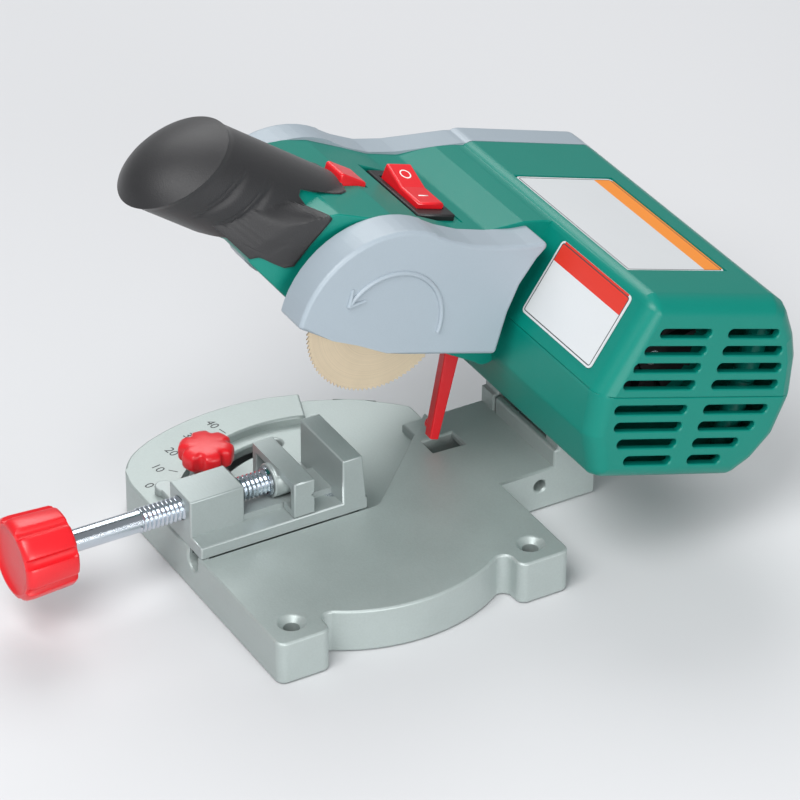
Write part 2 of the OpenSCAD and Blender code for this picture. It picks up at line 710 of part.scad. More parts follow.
module vent_row(v, fore, aft) {
  for (s = [[-motor_fore * fore, -vent_rib / 2], [vent_rib / 2, motor_aft * aft]])
    translate([s[0], v]) {
      translate([vent_h / 2, 0]) square([s[1] - s[0] - vent_h, vent_h]);
      for (u = [vent_h / 2, s[1] - s[0] - vent_h / 2]) translate([u, vent_h / 2]) circle(vent_h / 2);
    }
}
module vents() across(motor_x1 - end_round_x, motor_x1 + over) translate([motor_u, parting_v]) {
  for (i = [0 : vent_rows_up - 1])
    vent_row(vent_h * (vent_first_share - 1 / 2 + vent_pitch_share * i), vent_fore_shares[i],
    vent_aft_shares[i]);
  for (i = [0 : vent_rows_down - 1]) vent_row(-vent_h * (vent_first_share + 1 / 2 + vent_pitch_share * i),
    vent_fore_shares[vent_rows_up + i], vent_aft_shares[vent_rows_up + i]);
}

module shell_outer() {
  motor_block(0);
  arm_block(0);
  core_block(0);
}
module shell_inner() {
  motor_block(shell_wall);
  arm_block(shell_wall);
  core_block(core_wall);
  across(arm_x0 + shell_wall, arm_x1 - shell_wall)
    translate([motor_u - motor_fore, motor_bottom + shell_wall + motor_down / 2])
    square([motor_fore, motor_down / 2 + motor_up / 2]);
}
// Bearing bosses, motor cradles and screw posts inside the shells
module shell_inside() intersection() {
  union() {
    for (x = [arm_x0, arm_x1 - bearing_w - shell_wall])
      rod(x, x + bearing_w + shell_wall, bearing_r + bearing_wall, spindle_u, parting_v);
    for (s = cradle_shares)
      across(motor_x0 + motor_l * s, motor_x0 + motor_l * s + cradle_t) motor_outline();
    for (p = post_places) translate([p[0], p[1], 0]) cylinder(h = 2 * motor_top, r = post_r);
    translate([arm_post[0], arm_post[1], 0]) cylinder(h = 2 * motor_top, r = post_r);
  }
  shell_outer();
}
module shell_bores() {
  rod(arm_x0 - over, arm_x1 + over, spindle_d / 2 + spindle_clear, spindle_u, parting_v);
  for (x = [arm_x0 - over, arm_x1 - bearing_w])
    rod(x, x + bearing_w + over, bearing_r, spindle_u, parting_v);
  rod(motor_x0, motor_x0 + motor_l, motor_d / 2, motor_u, parting_v);
  rod(arm_x0 - over, motor_x0 + over, shaft_d / 2 + shaft_clear, motor_u, parting_v);
  for (p = cover_posts) rod(arm_x0 - over, arm_x0 + shell_wall + over, screw_r, p[0], p[1]);
  for (p = guard_posts) rod(arm_x1 - shell_wall - over, arm_x1 + over, screw_r, p[0], p[1]);
  for (p = post_places) screw_way(p);
  screw_way(arm_post);
}
module screw_way(p) translate([p[0], p[1], 0]) {
  cylinder(h = parting_v + post_up - screw_head_t, r = screw_r);
  cylinder(h = screw_seat(p), r = screw_head_r);
}
function screw_seat(p) = p == arm_post ? parting_v - seat_up : motor_bottom + seat_up;

module whole_shell() difference() {
  union() {
    difference() {
      shell_outer();
      shell_inner();
    }
    shell_inside();
  }
  shell_bores();
  vents();
}

module knuckles() difference() {
  for (x = [tongue_x0 + lug_w + knuckle_gap, spring_mid_x + spring_seat / 2]) {
    w = tongue_w / 2 - lug_w - knuckle_gap - spring_seat / 2;
    rod(x, x + w, knuckle_r);
    translate([x, -hinge_web_w / 2, 0]) cube([w, hinge_web_w, motor_bottom + shell_wall / 2]);
  }
  rod(tongue_x0, tongue_x1, hinge_pin_d / 2 + run_gap);
}

module lower_shell() color(c_green) in_head() {
  difference() {
    whole_shell();
    translate([-cut_span, -cut_span, parting_v]) cube([2 * cut_span, 2 * cut_span, cut_span]);
    translate([lever_x - lever_t / 2 - lever_slot_gap - toe_proud, lever_slot_u0, 0])
      cube([lever_t + 2 * lever_slot_gap + toe_proud, lever_slot_u1 - lever_slot_u0, parting_v]);
    translate([gland_x, motor_u, gland_v]) rotate([-90, 0, 0]) cylinder(h = 2 * motor_aft, r = gland_r);
  }
  knuckles();
}

module upper_shell() color(c_green) in_head() difference() {
  whole_shell();
  translate([-cut_span, -cut_span, parting_v - cut_span]) cube([2 * cut_span, 2 * cut_span, cut_span]);
  translate([switch_x - switch_l / 2 + bezel_rim, switch_u - switch_w / 2 + bezel_rim, parting_v])
    cube([switch_l - 2 * bezel_rim, switch_w - 2 * bezel_rim, motor_up + over]);
  translate([switch_x - switch_l / 2 - recess_gap, switch_u - switch_w / 2 - recess_gap, switch_v])
    cube([switch_l + 2 * recess_gap, switch_w + 2 * recess_gap, motor_up]);
  translate([grip_x - trigger_w / 2 - trigger_gap, trigger_u0 - trigger_gap - trigger_swing, lever_low_v])
    cube([trigger_w + 2 * trigger_gap, trigger_u1 - trigger_u0 + 2 * trigger_gap + trigger_swing,
      2 * motor_up]);
  translate([label_x0, label_u0, motor_top - label_depth])
    cube([label_x1 - label_x0, label_u1 - label_u0, motor_up]);
}

module shell_screws() color(c_steel) in_head() for (p = concat(post_places, [arm_post]))
  translate([p[0], p[1], screw_seat(p) - screw_head_t]) {
  cylinder(h = screw_head_t, r = screw_head_r);
  cylinder(h = parting_v + post_up - screw_head_t - screw_seat(p), r = screw_r);
}

module blade_guard() color(c_grey) in_head() difference() {
  union() {
    difference() {
      across(arm_x1, guard_x1) guard_outline();
      across(arm_x1 - over, guard_x1 - cover_wall) offset(delta = -cover_wall) guard_outline();
      across(arm_x1 - over, guard_x1 - cover_wall) translate([spindle_u - guard_r + cover_wall * 2, 0])
        square([guard_r - 2 * cover_wall + blade_d / 2 + guard_mouth_gap, parting_v]);
    }
    for (p = guard_posts) rod(arm_x1, guard_x1, guard_post_r, p[0], p[1]);
  }
  for (p = guard_posts) rod(arm_x1 - over, guard_x1 - 2 * cover_wall, screw_r, p[0], p[1]);
}

module guard_screws() color(c_steel) in_head() for (p = guard_posts) {
  rod(arm_x1 - shell_wall - screw_head_t, arm_x1 - shell_wall, screw_head_r, p[0], p[1]);
  rod(arm_x1 - shell_wall, guard_x1 - 2 * cover_wall - over, screw_r, p[0], p[1]);
}

module belt_cover() color(c_grey) in_head() difference() {
  union() {
    difference() {
      across(belt_x0, arm_x0) cover_outline();
      across(belt_x0 + cover_wall, arm_x0 + over) offset(delta = -cover_wall) cover_outline();
    }
    intersection() {
      for (p = cover_posts) rod(belt_x0, arm_x0, guard_post_r, p[0], p[1]);
      across(belt_x0, arm_x0) cover_outline();
    }
  }
  for (p = cover_posts) {
    rod(belt_x0 - over, arm_x0 + over, screw_r, p[0], p[1]);
    rod(belt_x0 - over, belt_x0 + screw_head_t, screw_head_r, p[0], p[1]);
  }
}

module belt_cover_screws() color(c_steel) in_head() for (p = cover_posts) {
  rod(belt_x0, belt_x0 + screw_head_t, screw_head_r, p[0], p[1]);
  rod(belt_x0 + screw_head_t, arm_x0 + shell_wall, screw_r, p[0], p[1]);
}

// Rubber sleeve over the handle, forked where it meets the head
module handle_grip() color(c_black) in_head() difference() {
  in_grip() rotate_extrude() polygon(concat(
    [[0, 0], [grip_d / 2, 0]],
    arc([grip_d / 2 - grip_end_r, grip_l - grip_end_r], grip_end_r, 0, 90, soft_fn / 4),
    [[0, grip_l]]));
  core_block(0);
  shell_tight();
  in_grip() rotate([90, 0, 90]) translate([0, 0, -grip_d]) linear_extrude(2 * grip_d)
    polygon([for (s = fork_shares) [s[1] * grip_d, s[0] * grip_l]]);
  translate([grip_x - trigger_w / 2 - trigger_gap, trigger_u0 - trigger_gap - trigger_swing, 0])
    cube([trigger_w + 2 * trigger_gap, grip_l, 3 * motor_up]);
}
module shell_tight() arm_block(0);

module cord_gland() color(c_black) in_head()
  translate([gland_x, motor_u + motor_aft * gland_seat_share, gland_v]) rotate([-90, 0, 0]) difference() {
  union() {
    cylinder(h = gland_l, r = gland_r);
    translate([0, 0, motor_aft * gland_flange_share]) cylinder(h = gland_flange_t, r = gland_flange_r);
  }
  translate([0, 0, -over]) cylinder(h = gland_l + 2 * over, r = gland_bore_r);
}

module motor_can() color(c_steel) in_head() difference() {
  rod(motor_x0, motor_x0 + motor_l, motor_d / 2, motor_u, parting_v);
  rod(motor_x0 - over, motor_x0 + motor_l + over, shaft_d / 2 + run_gap, motor_u, parting_v);
}

motor_end = motor_x0 + motor_l;
module motor_shaft() color(c_steel) in_head()
  rod(pulley_x0 + pulley_gap, motor_end + fan_gap + fan_t, shaft_d / 2, motor_u, parting_v);

module pulley(r, u, bore) difference() {
  union() {
    rod(pulley_x0, pulley_x0 + pulley_l, r, u, parting_v);
    for (x = [pulley_x0, pulley_x0 + pulley_l - pulley_lip_t])
      rod(x, x + pulley_lip_t, r + pulley_lip, u, parting_v);
  }
  rod(pulley_x0 + pulley_gap, pulley_x0 + pulley_l + over, bore / 2, u, parting_v);
}
module motor_pulley() color(c_dark) in_head() pulley(motor_pulley_d / 2, motor_u, shaft_d);
module spindle_pulley() color(c_dark) in_head() pulley(spindle_pulley_d / 2, spindle_u, spindle_d);

module cooling_fan() color(c_red) in_head() translate([motor_end + fan_gap, motor_u, parting_v])
  rotate([0, 90, 0]) difference() {
  union() {
    cylinder(h = fan_t, r = fan_hub_r);
    cylinder(h = fan_blade_t, r = fan_r);
    for (i = [0 : fan_blades - 1]) rotate(360 * i / fan_blades) translate([fan_root_r, -fan_blade_t / 2, 0])
      cube([fan_r - fan_blade_t - fan_root_r, fan_blade_t, fan_t - fan_blade_t]);
  }
  translate([0, 0, -over]) cylinder(h = fan_t + 2 * over, d = shaft_d);
}

// Flat belt round both pulleys, with straight runs along their common tangents
belt_lean = acos((spindle_pulley_d - motor_pulley_d) / 2 / belt_span);
module belt_loop(extra) {
  r0 = spindle_pulley_d / 2 + extra;
  r1 = motor_pulley_d / 2 + extra;
  translate([spindle_u, parting_v]) circle(r0);
  translate([motor_u, parting_v]) circle(r1);
  polygon([for (s = [[spindle_u, r0, 1], [spindle_u, r0, -1], [motor_u, r1, -1], [motor_u, r1, 1]])
    [s[0] + s[1] * cos(belt_lean), parting_v + s[2] * s[1] * sin(belt_lean)]]);
}
module drive_belt() color(c_black) in_head()
  across(pulley_x0 + (pulley_l - belt_w) / 2, pulley_x0 + (pulley_l + belt_w) / 2) difference() {
  belt_loop(belt_slack + belt_t);
  belt_loop(belt_slack);
}

module spindle_bearings() color(c_steel) in_head() for (x = [arm_x0, arm_x1 - bearing_w]) difference() {
  rod(x, x + bearing_w, bearing_r, spindle_u, parting_v);
  rod(x - over, x + bearing_w + over, spindle_d / 2 + run_gap, spindle_u, parting_v);
}

flange_x = blade_x - blade_t / 2 - inner_flange_t;
module spindle() color(c_steel) in_head() difference() {
  union() {
    rod(pulley_x0 + pulley_gap, flange_x, spindle_d / 2, spindle_u, parting_v);
    rod(flange_x, blade_x + blade_t / 2 + outer_flange_t, blade_bore_d / 2, spindle_u, parting_v);
  }
  rod(blade_x - arbor_screw_l, blade_x + inner_flange_t, arbor_screw_d / 2, spindle_u, parting_v);
}

module washer(x, t) in_head() difference() {
  rod(x, x + t, flange_r, spindle_u, parting_v);
  rod(x - over, x + t + over, blade_bore_d / 2, spindle_u, parting_v);
}
module inner_flange() color(c_steel) washer(flange_x, inner_flange_t);
module outer_flange() color(c_steel) washer(blade_x + blade_t / 2, outer_flange_t);

module saw_blade() color(c_brass) in_head() difference() {
  across(blade_x - blade_t / 2, blade_x + blade_t / 2) translate([spindle_u, parting_v])
    polygon([for (i = [0 : blade_teeth - 1]) for (s = [0, 1])
      let (a = 360 * (i + s * tooth_share) / blade_teeth, r = blade_d / 2 - s * tooth_depth) r * [cos(a),
        sin(a)]]);
  rod(blade_x - over, blade_x + over, blade_bore_d / 2, spindle_u, parting_v);
}

arbor_x = blade_x + blade_t / 2 + outer_flange_t;
module arbor_screw() color(c_dark) in_head() {
  rod(arbor_x, arbor_x + arbor_head_t, blade_bore_d / 2 + arbor_head_lip, spindle_u, parting_v);
  rod(blade_x - arbor_screw_l, arbor_x, arbor_screw_d / 2, spindle_u, parting_v);
}

// Rocker switch let into the top of the arm
module switch_bezel() color(c_black) in_head() translate([switch_x, switch_u, switch_v]) difference() {
  union() {
    translate([-switch_l / 2, -switch_w / 2, 0]) cube([switch_l, switch_w, bezel_t]);
    translate([-switch_l / 2 + bezel_rim, -switch_w / 2 + bezel_rim, bezel_t - switch_depth])
      cube([switch_l - 2 * bezel_rim, switch_w - 2 * bezel_rim, switch_depth]);
  }
  translate([-switch_l / 2 + bezel_end, -switch_w / 2 + 2 * bezel_rim, 2 * bezel_t - switch_depth])
    cube([switch_l - 2 * bezel_end, switch_w - 4 * bezel_rim, 2 * switch_depth]);
  translate([0, 0, bezel_t / 2]) rocker_pin(rocker_pin_r + rocker_pin_gap, rocker_pin_in + rocker_pin_gap);
}

// The rocker's two trunnions, which run in sockets in the bezel
module rocker_pin(r, reach) rotate([90, 0, 0])
  cylinder(h = switch_w - 4 * bezel_rim + 2 * reach, r = r, center = true);

rocker_half = switch_l / 2 - bezel_end - rocker_gap;
rocker_end = rocker_half * cos(rocker_tilt);
rocker_tip = rocker_rise + rocker_half * sin(rocker_tilt);
rocker_w = switch_w - 4 * bezel_rim - 2 * rocker_gap;
module switch_rocker() color(c_red) in_head()
  translate([switch_x, switch_u, switch_v + bezel_t / 2]) rotate([0, rocker_tilt, 0]) {
    translate([0, rocker_w / 2, 0]) rotate([90, 0, 0]) linear_extrude(rocker_w)
      polygon([[-rocker_end, -rocker_drop / 2], [-rocker_end, rocker_tip], [0, rocker_rise],
        [rocker_end, rocker_tip], [rocker_end, -rocker_drop / 2], [0, -rocker_drop]]);
    rocker_pin(rocker_pin_r, rocker_pin_in);
  }

// Trigger, lever arm and the strut that dips into the table, in one moulding
module trigger_lever() color(c_red) in_head() difference() {
  union() {
    across(lever_x - lever_t / 2, lever_x + lever_t / 2) {
      translate([lever_u, lever_v]) circle(lever_boss_r);
      polygon([[foot_u - foot_w / 2, foot_v], [foot_u + foot_w / 2, foot_v],
        [strut_u + strut_w / 2, strut_v],
        [lever_u + lever_boss_r * lever_neck_share, lever_v],
          [lever_u - lever_boss_r * lever_neck_share, lever_v], [strut_u - strut_w / 2, strut_v]]);
      polygon([[lever_u, lever_low_v], [lever_u, lever_low_v + lever_arm_t],
        [lever_rise_u, lever_low_v + lever_arm_t],
        [trigger_u1, trigger_low], [trigger_u1, trigger_top - trigger_web_drop],
          [trigger_u0, trigger_top - trigger_web_drop],
        [trigger_u0, lever_v], [lever_rise_u, lever_low_v]]);
    }
    across(grip_x - trigger_w / 2, lever_x + lever_t / 2)
      polygon([[trigger_u0, trigger_low], [trigger_u1, trigger_low],
      [trigger_u1, trigger_top - trigger_web_drop], [trigger_u0, trigger_top - trigger_web_drop]]);
    across(grip_x - trigger_w / 2, grip_x + trigger_w / 2) soften(trigger_soft)
      polygon([[trigger_u0, trigger_low], [trigger_u1, trigger_low],
      [trigger_u1, trigger_top - trigger_slope], [trigger_u0, trigger_top]]);
    rod(lever_x - lever_t / 2 - toe_proud, lever_x, toe_r, foot_u, foot_v + toe_up);
  }
  rod(lever_x - lever_t, lever_x + lever_t, lever_pin_d / 2 + run_gap, lever_u, lever_v);
}

module lever_pivot_pin() color(c_steel) in_head()
  rod(arm_x0 + shell_wall, arm_x1 - shell_wall, lever_pin_d / 2, lever_u, lever_v);

module lever_return_spring() color(c_steel) in_head()
  translate([lever_x + lever_t / 2 + lever_spring_wire, lever_u, lever_v])
  coil(lever_spring_r, lever_spring_wire, lever_spring_turns, lever_spring_l, lever_spring_legs);

base_casting();
hinge_pin();
hinge_pin_clips();
head_return_spring();
vise_bed();
vise_pivot_screw();
angle_pointer();
lock_stud();
lock_knob();
moving_jaw();
vise_screw();
screw_knob();
screw_retaining_ring();
lower_shell();
upper_shell();
shell_screws();
blade_guard();
guard_screws();
belt_cover();
belt_cover_screws();
handle_grip();
cord_gland();
motor_can();
motor_shaft();
motor_pulley();
cooling_fan();
drive_belt();
spindle_bearings();
spindle();
spindle_pulley();
inner_flange();
saw_blade();
outer_flange();
arbor_screw();
switch_bezel();
switch_rocker();
trigger_lever();
lever_pivot_pin();
lever_return_spring();
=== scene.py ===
import json
import math

import bmesh
import bpy
from mathutils import Matrix, Vector
from mathutils.bvhtree import BVHTree
from mathutils.geometry import intersect_line_line_2d, intersect_point_line

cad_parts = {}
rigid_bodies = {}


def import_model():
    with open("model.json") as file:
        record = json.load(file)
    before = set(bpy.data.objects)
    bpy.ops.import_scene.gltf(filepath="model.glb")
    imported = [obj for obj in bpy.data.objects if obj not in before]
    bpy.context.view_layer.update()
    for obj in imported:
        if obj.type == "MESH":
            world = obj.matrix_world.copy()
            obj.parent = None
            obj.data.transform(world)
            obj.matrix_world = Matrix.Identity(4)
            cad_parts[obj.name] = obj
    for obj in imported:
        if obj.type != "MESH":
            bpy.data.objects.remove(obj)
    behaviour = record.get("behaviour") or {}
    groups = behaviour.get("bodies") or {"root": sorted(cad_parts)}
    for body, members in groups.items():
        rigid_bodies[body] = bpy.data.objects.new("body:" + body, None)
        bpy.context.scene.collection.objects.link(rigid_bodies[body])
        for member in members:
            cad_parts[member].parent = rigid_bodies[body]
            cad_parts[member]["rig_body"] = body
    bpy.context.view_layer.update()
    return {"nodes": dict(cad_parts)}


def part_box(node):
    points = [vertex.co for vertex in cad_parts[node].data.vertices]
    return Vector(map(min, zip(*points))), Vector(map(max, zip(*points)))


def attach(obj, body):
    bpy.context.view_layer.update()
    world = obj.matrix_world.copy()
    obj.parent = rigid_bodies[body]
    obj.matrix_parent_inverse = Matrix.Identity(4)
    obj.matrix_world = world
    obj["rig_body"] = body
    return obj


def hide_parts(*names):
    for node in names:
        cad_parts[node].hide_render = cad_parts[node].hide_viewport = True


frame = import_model()

# CAMERA AND STUDIO
# A long lens from the saw's front right, looking down on the table.
# The saw stands on a plain pale floor under one wide key light and two soft fills.
MM = 0.001
CAMERA_PLACE = Vector((864.5, -509.65, 731.2)) * MM
FLOOR_SIZE, FLOOR_DROP = 6, 0.3 * MM
camera_data = bpy.data.cameras.new("studio_camera")
camera_data.lens, camera_data.sensor_width = 180, 36
camera_data.clip_start, camera_data.clip_end = 0.05, 20
camera = bpy.data.objects.new("studio_camera", camera_data)
bpy.context.scene.collection.objects.link(camera)
bpy.context.scene.camera = camera
camera_turn, camera_rise, camera_roll = (math.radians(a) for a in (59.73, 32.91, 0.52))
camera_back = Vector((math.sin(camera_turn) * math.cos(camera_rise),
                      -math.cos(camera_turn) * math.cos(camera_rise), math.sin(camera_rise)))
level = Vector((math.cos(camera_turn), math.sin(camera_turn), 0))
upright = camera_back.cross(level)
camera_right = math.cos(camera_roll) * level + math.sin(camera_roll) * upright
camera_up = math.cos(camera_roll) * upright - math.sin(camera_roll) * level
camera_axes = Matrix((camera_right, camera_up, camera_back)).transposed()
camera.matrix_world = Matrix.Translation(CAMERA_PLACE) @ camera_axes.to_4x4()


def linear(red, green, blue):
    """A screen colour of 0 to 255 as the shader's linear colour."""
    return tuple((c / 255 / 12.92) if c < 10 else ((c / 255 + 0.055) / 1.055) ** 2.4
                 for c in (red, green, blue)) + (1.0,)


floor_shape = bmesh.new()
bmesh.ops.create_grid(floor_shape, x_segments=1, y_segments=1, size=FLOOR_SIZE)
floor_mesh = bpy.data.meshes.new("studio_floor")
floor_shape.to_mesh(floor_mesh)
floor_shape.free()
floor = bpy.data.objects.new("studio_floor", floor_mesh)
bpy.context.scene.collection.objects.link(floor)
floor.location.z = -FLOOR_DROP
floor_paint = bpy.data.materials.new("pale_floor")
floor_paint.use_nodes = True
floor_shader = floor_paint.node_tree.nodes["Principled BSDF"]
floor_shader.inputs["Base Color"].default_value = linear(206, 207, 209)
floor_shader.inputs["Roughness"].default_value = 0.75
floor_mesh.materials.append(floor_paint)

world = bpy.data.worlds.new("soft_room")
world.use_nodes = True
room_light = world.node_tree.nodes["Background"]
room_light.inputs["Color"].default_value = (0.84, 0.86, 0.89, 1)
room_light.inputs["Strength"].default_value = 0.34
bpy.context.scene.world = world
bpy.context.scene.view_settings.view_transform = "Standard"
for lamp, power, width, place, aim in (
        ("key_light", 13.0, 0.7, (0.35, -0.60, 1.05), (-0.05, 0.02, 0.05)),
        ("side_fill", 11.0, 0.8, (1.20, -0.10, 0.30), (0.0, 0.0, 0.03)),
        ("back_rim", 7.0, 0.7, (-0.75, 0.35, 0.95), (-0.05, 0.05, 0.08))):
    lamp_data = bpy.data.lights.new(lamp, "AREA")
    lamp_data.energy, lamp_data.size = power, width
    light = bpy.data.objects.new(lamp, lamp_data)
    bpy.context.scene.collection.objects.link(light)
    facing = (Vector(aim) - Vector(place)).to_track_quat("-Z", "Y")
    light.matrix_world = Matrix.Translation(place) @ facing.to_matrix().to_4x4()

# BASE CASTING
# One aluminium casting with a milled table, a lower pocket for the vise and a hinge tongue.
# Its edges are broken by tumbling, and it carries a grey powder finish with a fine grain.
# It is bolted to the bench through its two ears.
SHORT_EDGE, FLAT_ANGLE = 0.12 * MM, math.radians(0.6)
EDGE_ROOM, ON_FACE = 0.42, 0.2 * MM
RAY_LIFT, HIDDEN_WITHIN = 0.05 * MM, 6 * MM
FOLD_AREA, FOLD_REACH, FOLD_TRIES = 0.02 * MM * MM, 1.8, 8
WALL_TILT, WALL_SLACK, TURN_SLACK = 0.01, 0.25 * MM, 0.001
LONG_FLAT, FLAT_CUTS, CORNER_STEPS = 5 * MM, 5, 14
SMOOTH_BELOW = 32
RELIEF_HEIGHT = 0.2 * MM


def solids_tree(solids):
    """A search tree over the faces of several CAD solids at rest."""
    corners, faces = [], []
    for solid in solids:
        faces += [[len(corners) + i for i in face.vertices] for face in solid.data.polygons]
        corners += [solid.matrix_world @ v.co for v in solid.data.vertices]
    return BVHTree.FromPolygons(corners, faces)


whole_saw = solids_tree(frame["nodes"].values())


def piece_from(shape, name, sharp_angle=40):
    """The object of a finished bmesh, smooth apart from its sharp edges."""
    mesh = bpy.data.meshes.new(name)
    shape.to_mesh(mesh)
    shape.free()
    mesh.shade_smooth()
    mesh.set_sharp_from_angle(angle=math.radians(sharp_angle))
    piece = bpy.data.objects.new(name, mesh)
    bpy.context.scene.collection.objects.link(piece)
    return piece


def seated(piece, body, slot, *paints):
    """Ties a piece to its body and gives it its finishes; the slot is not used."""
    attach(piece, body)
    for paint in paints:
        piece.data.materials.append(paint)
    return piece


def with_borders(faces):
    """The faces with their edges and corners, as the operators take them."""
    return [*faces, *dict.fromkeys(e for f in faces for e in f.edges),
            *dict.fromkeys(v for f in faces for v in f.verts)]


def flat_edges(shape):
    """The edges between faces that lie in one plane."""
    return [e for e in shape.edges if e.is_manifold and e.calc_face_angle(0) < FLAT_ANGLE]


def face_depth(face, edge):
    """How far a face reaches from one of its edges."""
    start, along = edge.verts[0].co, (edge.verts[1].co - edge.verts[0].co).normalized()
    return max((v.co - start - along * (v.co - start).dot(along)).length for v in face.verts)


def rounded_corner(shape, middle, radius, first_turn, last_turn):
    """Cuts the walls of an upright corner by planes through an axis, and sets the cuts on a round."""
    def within(v, slack):
        turn = math.atan2(v.co.y - middle.y, v.co.x - middle.x)
        return first_turn - slack < turn < last_turn + slack

    def walls():
        return [f for f in shape.faces if abs(f.normal.z) < WALL_TILT
                and all((v.co.to_2d() - middle).length > radius - WALL_SLACK for v in f.verts)
                and any(within(v, 10 * TURN_SLACK) for v in f.verts)]

    for step in range(CORNER_STEPS + 1):
        turn = first_turn + (last_turn - first_turn) * step / CORNER_STEPS
        bmesh.ops.bisect_plane(shape, geom=with_borders(walls()), dist=0.001 * MM, plane_co=middle.to_3d(),
                               plane_no=(-math.sin(turn), math.cos(turn), 0))
    for v in dict.fromkeys(v for f in walls() for v in f.verts if within(v, TURN_SLACK)):
        v.co.x, v.co.y = middle + (v.co.to_2d() - middle).normalized() * radius
    shape.normal_update()


def rounded_wall(shape, middle, radius):
    """Cuts the long flats of an upright wall that should be round, and sets the cuts on the curve."""
    flats = {}
    for face in shape.faces:
        chord_edges = [e for e in face.edges
                       if e.calc_length() > LONG_FLAT and e.verts[0].co.z == e.verts[1].co.z
                       and all(abs((v.co.to_2d() - middle).length - radius) < WALL_SLACK for v in e.verts)]
        if len(face.verts) == 4 and len(chord_edges) == 2:
            flats.update(dict.fromkeys(chord_edges))
    chords = [[v.co.copy() for v in e.verts] for e in flats]
    cut = bmesh.ops.subdivide_edges(shape, edges=list(flats), cuts=FLAT_CUTS, use_grid_fill=True)
    for v in (part for part in cut["geom_inner"] if isinstance(part, bmesh.types.BMVert)):
        for ends in chords:
            foot, share = intersect_point_line(v.co, *ends)
            if 0 < share < 1 and (foot - v.co).length < WALL_SLACK / 100:
                start_r, end_r = ((end.to_2d() - middle).length for end in ends)
                arm = (v.co.to_2d() - middle).normalized() * (start_r + (end_r - start_r) * share)
                v.co.x, v.co.y = middle + arm
    shape.normal_update()


def fold_points(shape, width):
    """The places where faces would fold over themselves if the weighted edges were broken."""
    trial = shape.copy()
    weight = trial.edges.layers.float["bevel_weight_edge"]
    bmesh.ops.bevel(trial, geom=[e for e in trial.edges if e[weight]], offset=width, offset_type="OFFSET",
                    segments=1, profile=0.5, affect="EDGES", clamp_overlap=False, material=-1)
    trial.normal_update()
    folded = {}
    for corners in trial.calc_loop_triangles():
        first, second, third = (corner.vert.co for corner in corners)
        across = (second - first).cross(third - first)
        if across.dot(corners[0].face.normal) < -FOLD_AREA:
            folded.setdefault(corners[0].face, []).append((first + second + third) / 3)
    places = []
    for face, middles in folded.items():
        flat = face.normal.to_track_quat("Z", "Y").to_matrix().transposed()
        ring = [flat @ v.co for v in face.verts]
        lines = [(ring[i].to_2d(), ring[i - 1].to_2d()) for i in range(len(ring))]
        crossings = []
        for i, line in enumerate(lines):
            for other in lines[i + 2:len(lines) - (i == 0)]:
                crossing = intersect_line_line_2d(*line, *other)
                if crossing is not None:
                    crossings.append(flat.transposed() @ Vector((*crossing, ring[i].z)))
        places += crossings or middles
    trial.free()
    return places


def eased_copy(node, name, slot, paint, width, segments=2, sharp=32, only_x=None,
               round_walls=(), round_corners=()):
    """A copy of a CAD solid that stands for it, with its outer edges broken where they have room.

    Only edges above sharp degrees are broken, and only those at only_x where that is given.
    """
    source = frame["nodes"][node]
    width *= MM
    shape = bmesh.new()
    shape.from_mesh(source.data)
    bmesh.ops.remove_doubles(shape, verts=shape.verts, dist=SHORT_EDGE)
    bmesh.ops.beautify_fill(shape, faces=shape.faces, edges=flat_edges(shape))
    for edge in sorted(flat_edges(shape), key=lambda e: -e.calc_length()):
        if edge.is_valid and len(edge.link_faces) == 2:
            bmesh.utils.face_join(edge.link_faces, False)
    bmesh.ops.dissolve_verts(shape, verts=[v for v in shape.verts if len(v.link_edges) == 2])
    for corner in round_corners:
        rounded_corner(shape, *corner)
    for wall in round_walls:
        rounded_wall(shape, *wall)
    weight = shape.edges.layers.float.new("bevel_weight_edge")
    own_tree = BVHTree.FromBMesh(shape)
    for edge in shape.edges:
        if not edge.is_manifold or edge.calc_face_angle_signed(0) <= math.radians(sharp):
            continue
        outward = sum((face.normal for face in edge.link_faces), Vector()).normalized()
        start = (edge.verts[0].co + edge.verts[1].co) / 2 + outward * RAY_LIFT
        wanted = only_x is None or abs(start.x - only_x) < ON_FACE
        room = EDGE_ROOM * min(face_depth(face, edge) for face in edge.link_faces)
        shut_in = (own_tree.ray_cast(start, outward)[0]
                   or whole_saw.ray_cast(start, outward, HIDDEN_WITHIN)[0])
        edge[weight] = float(wanted and room > width and not shut_in)
    for _ in range(FOLD_TRIES):
        folds = fold_points(shape, width)
        if not folds:
            break
        for edge in [e for e in shape.edges if e[weight]]:
            ends = [v.co for v in edge.verts]
            for fold in folds:
                share = min(1.0, max(0.0, intersect_point_line(fold, *ends)[1]))
                if (ends[0].lerp(ends[1], share) - fold).length < FOLD_REACH * width:
                    edge[weight] = 0.0
    piece = piece_from(shape, name, SMOOTH_BELOW)
    broken = piece.modifiers.new("broken_edges", "BEVEL")
    broken.width, broken.segments = width, segments
    broken.limit_method, broken.use_clamp_overlap = "WEIGHT", False
    if only_x is None:
        piece.modifiers.new("flat_faces", "WEIGHTED_NORMAL").keep_sharp = True
    else:
        broken.harden_normals = True
    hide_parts(node)
    return seated(piece, source["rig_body"], slot, paint)


def effect_group(name, inputs):
    """An empty shader group that puts out a colour, a roughness and a height."""
    group = bpy.data.node_groups.new(name, "ShaderNodeTree")
    for title, kind, value in inputs:
        socket = group.interface.new_socket(title, in_out="INPUT", socket_type=kind)
        socket.default_value = value
    for title, kind in (("Colour", "NodeSocketColor"), ("Roughness", "NodeSocketFloat"),
                        ("Height", "NodeSocketFloat")):
        group.interface.new_socket(title, in_out="OUTPUT", socket_type=kind)
    return group, group.nodes.new("NodeGroupInput"), group.nodes.new("NodeGroupOutput")


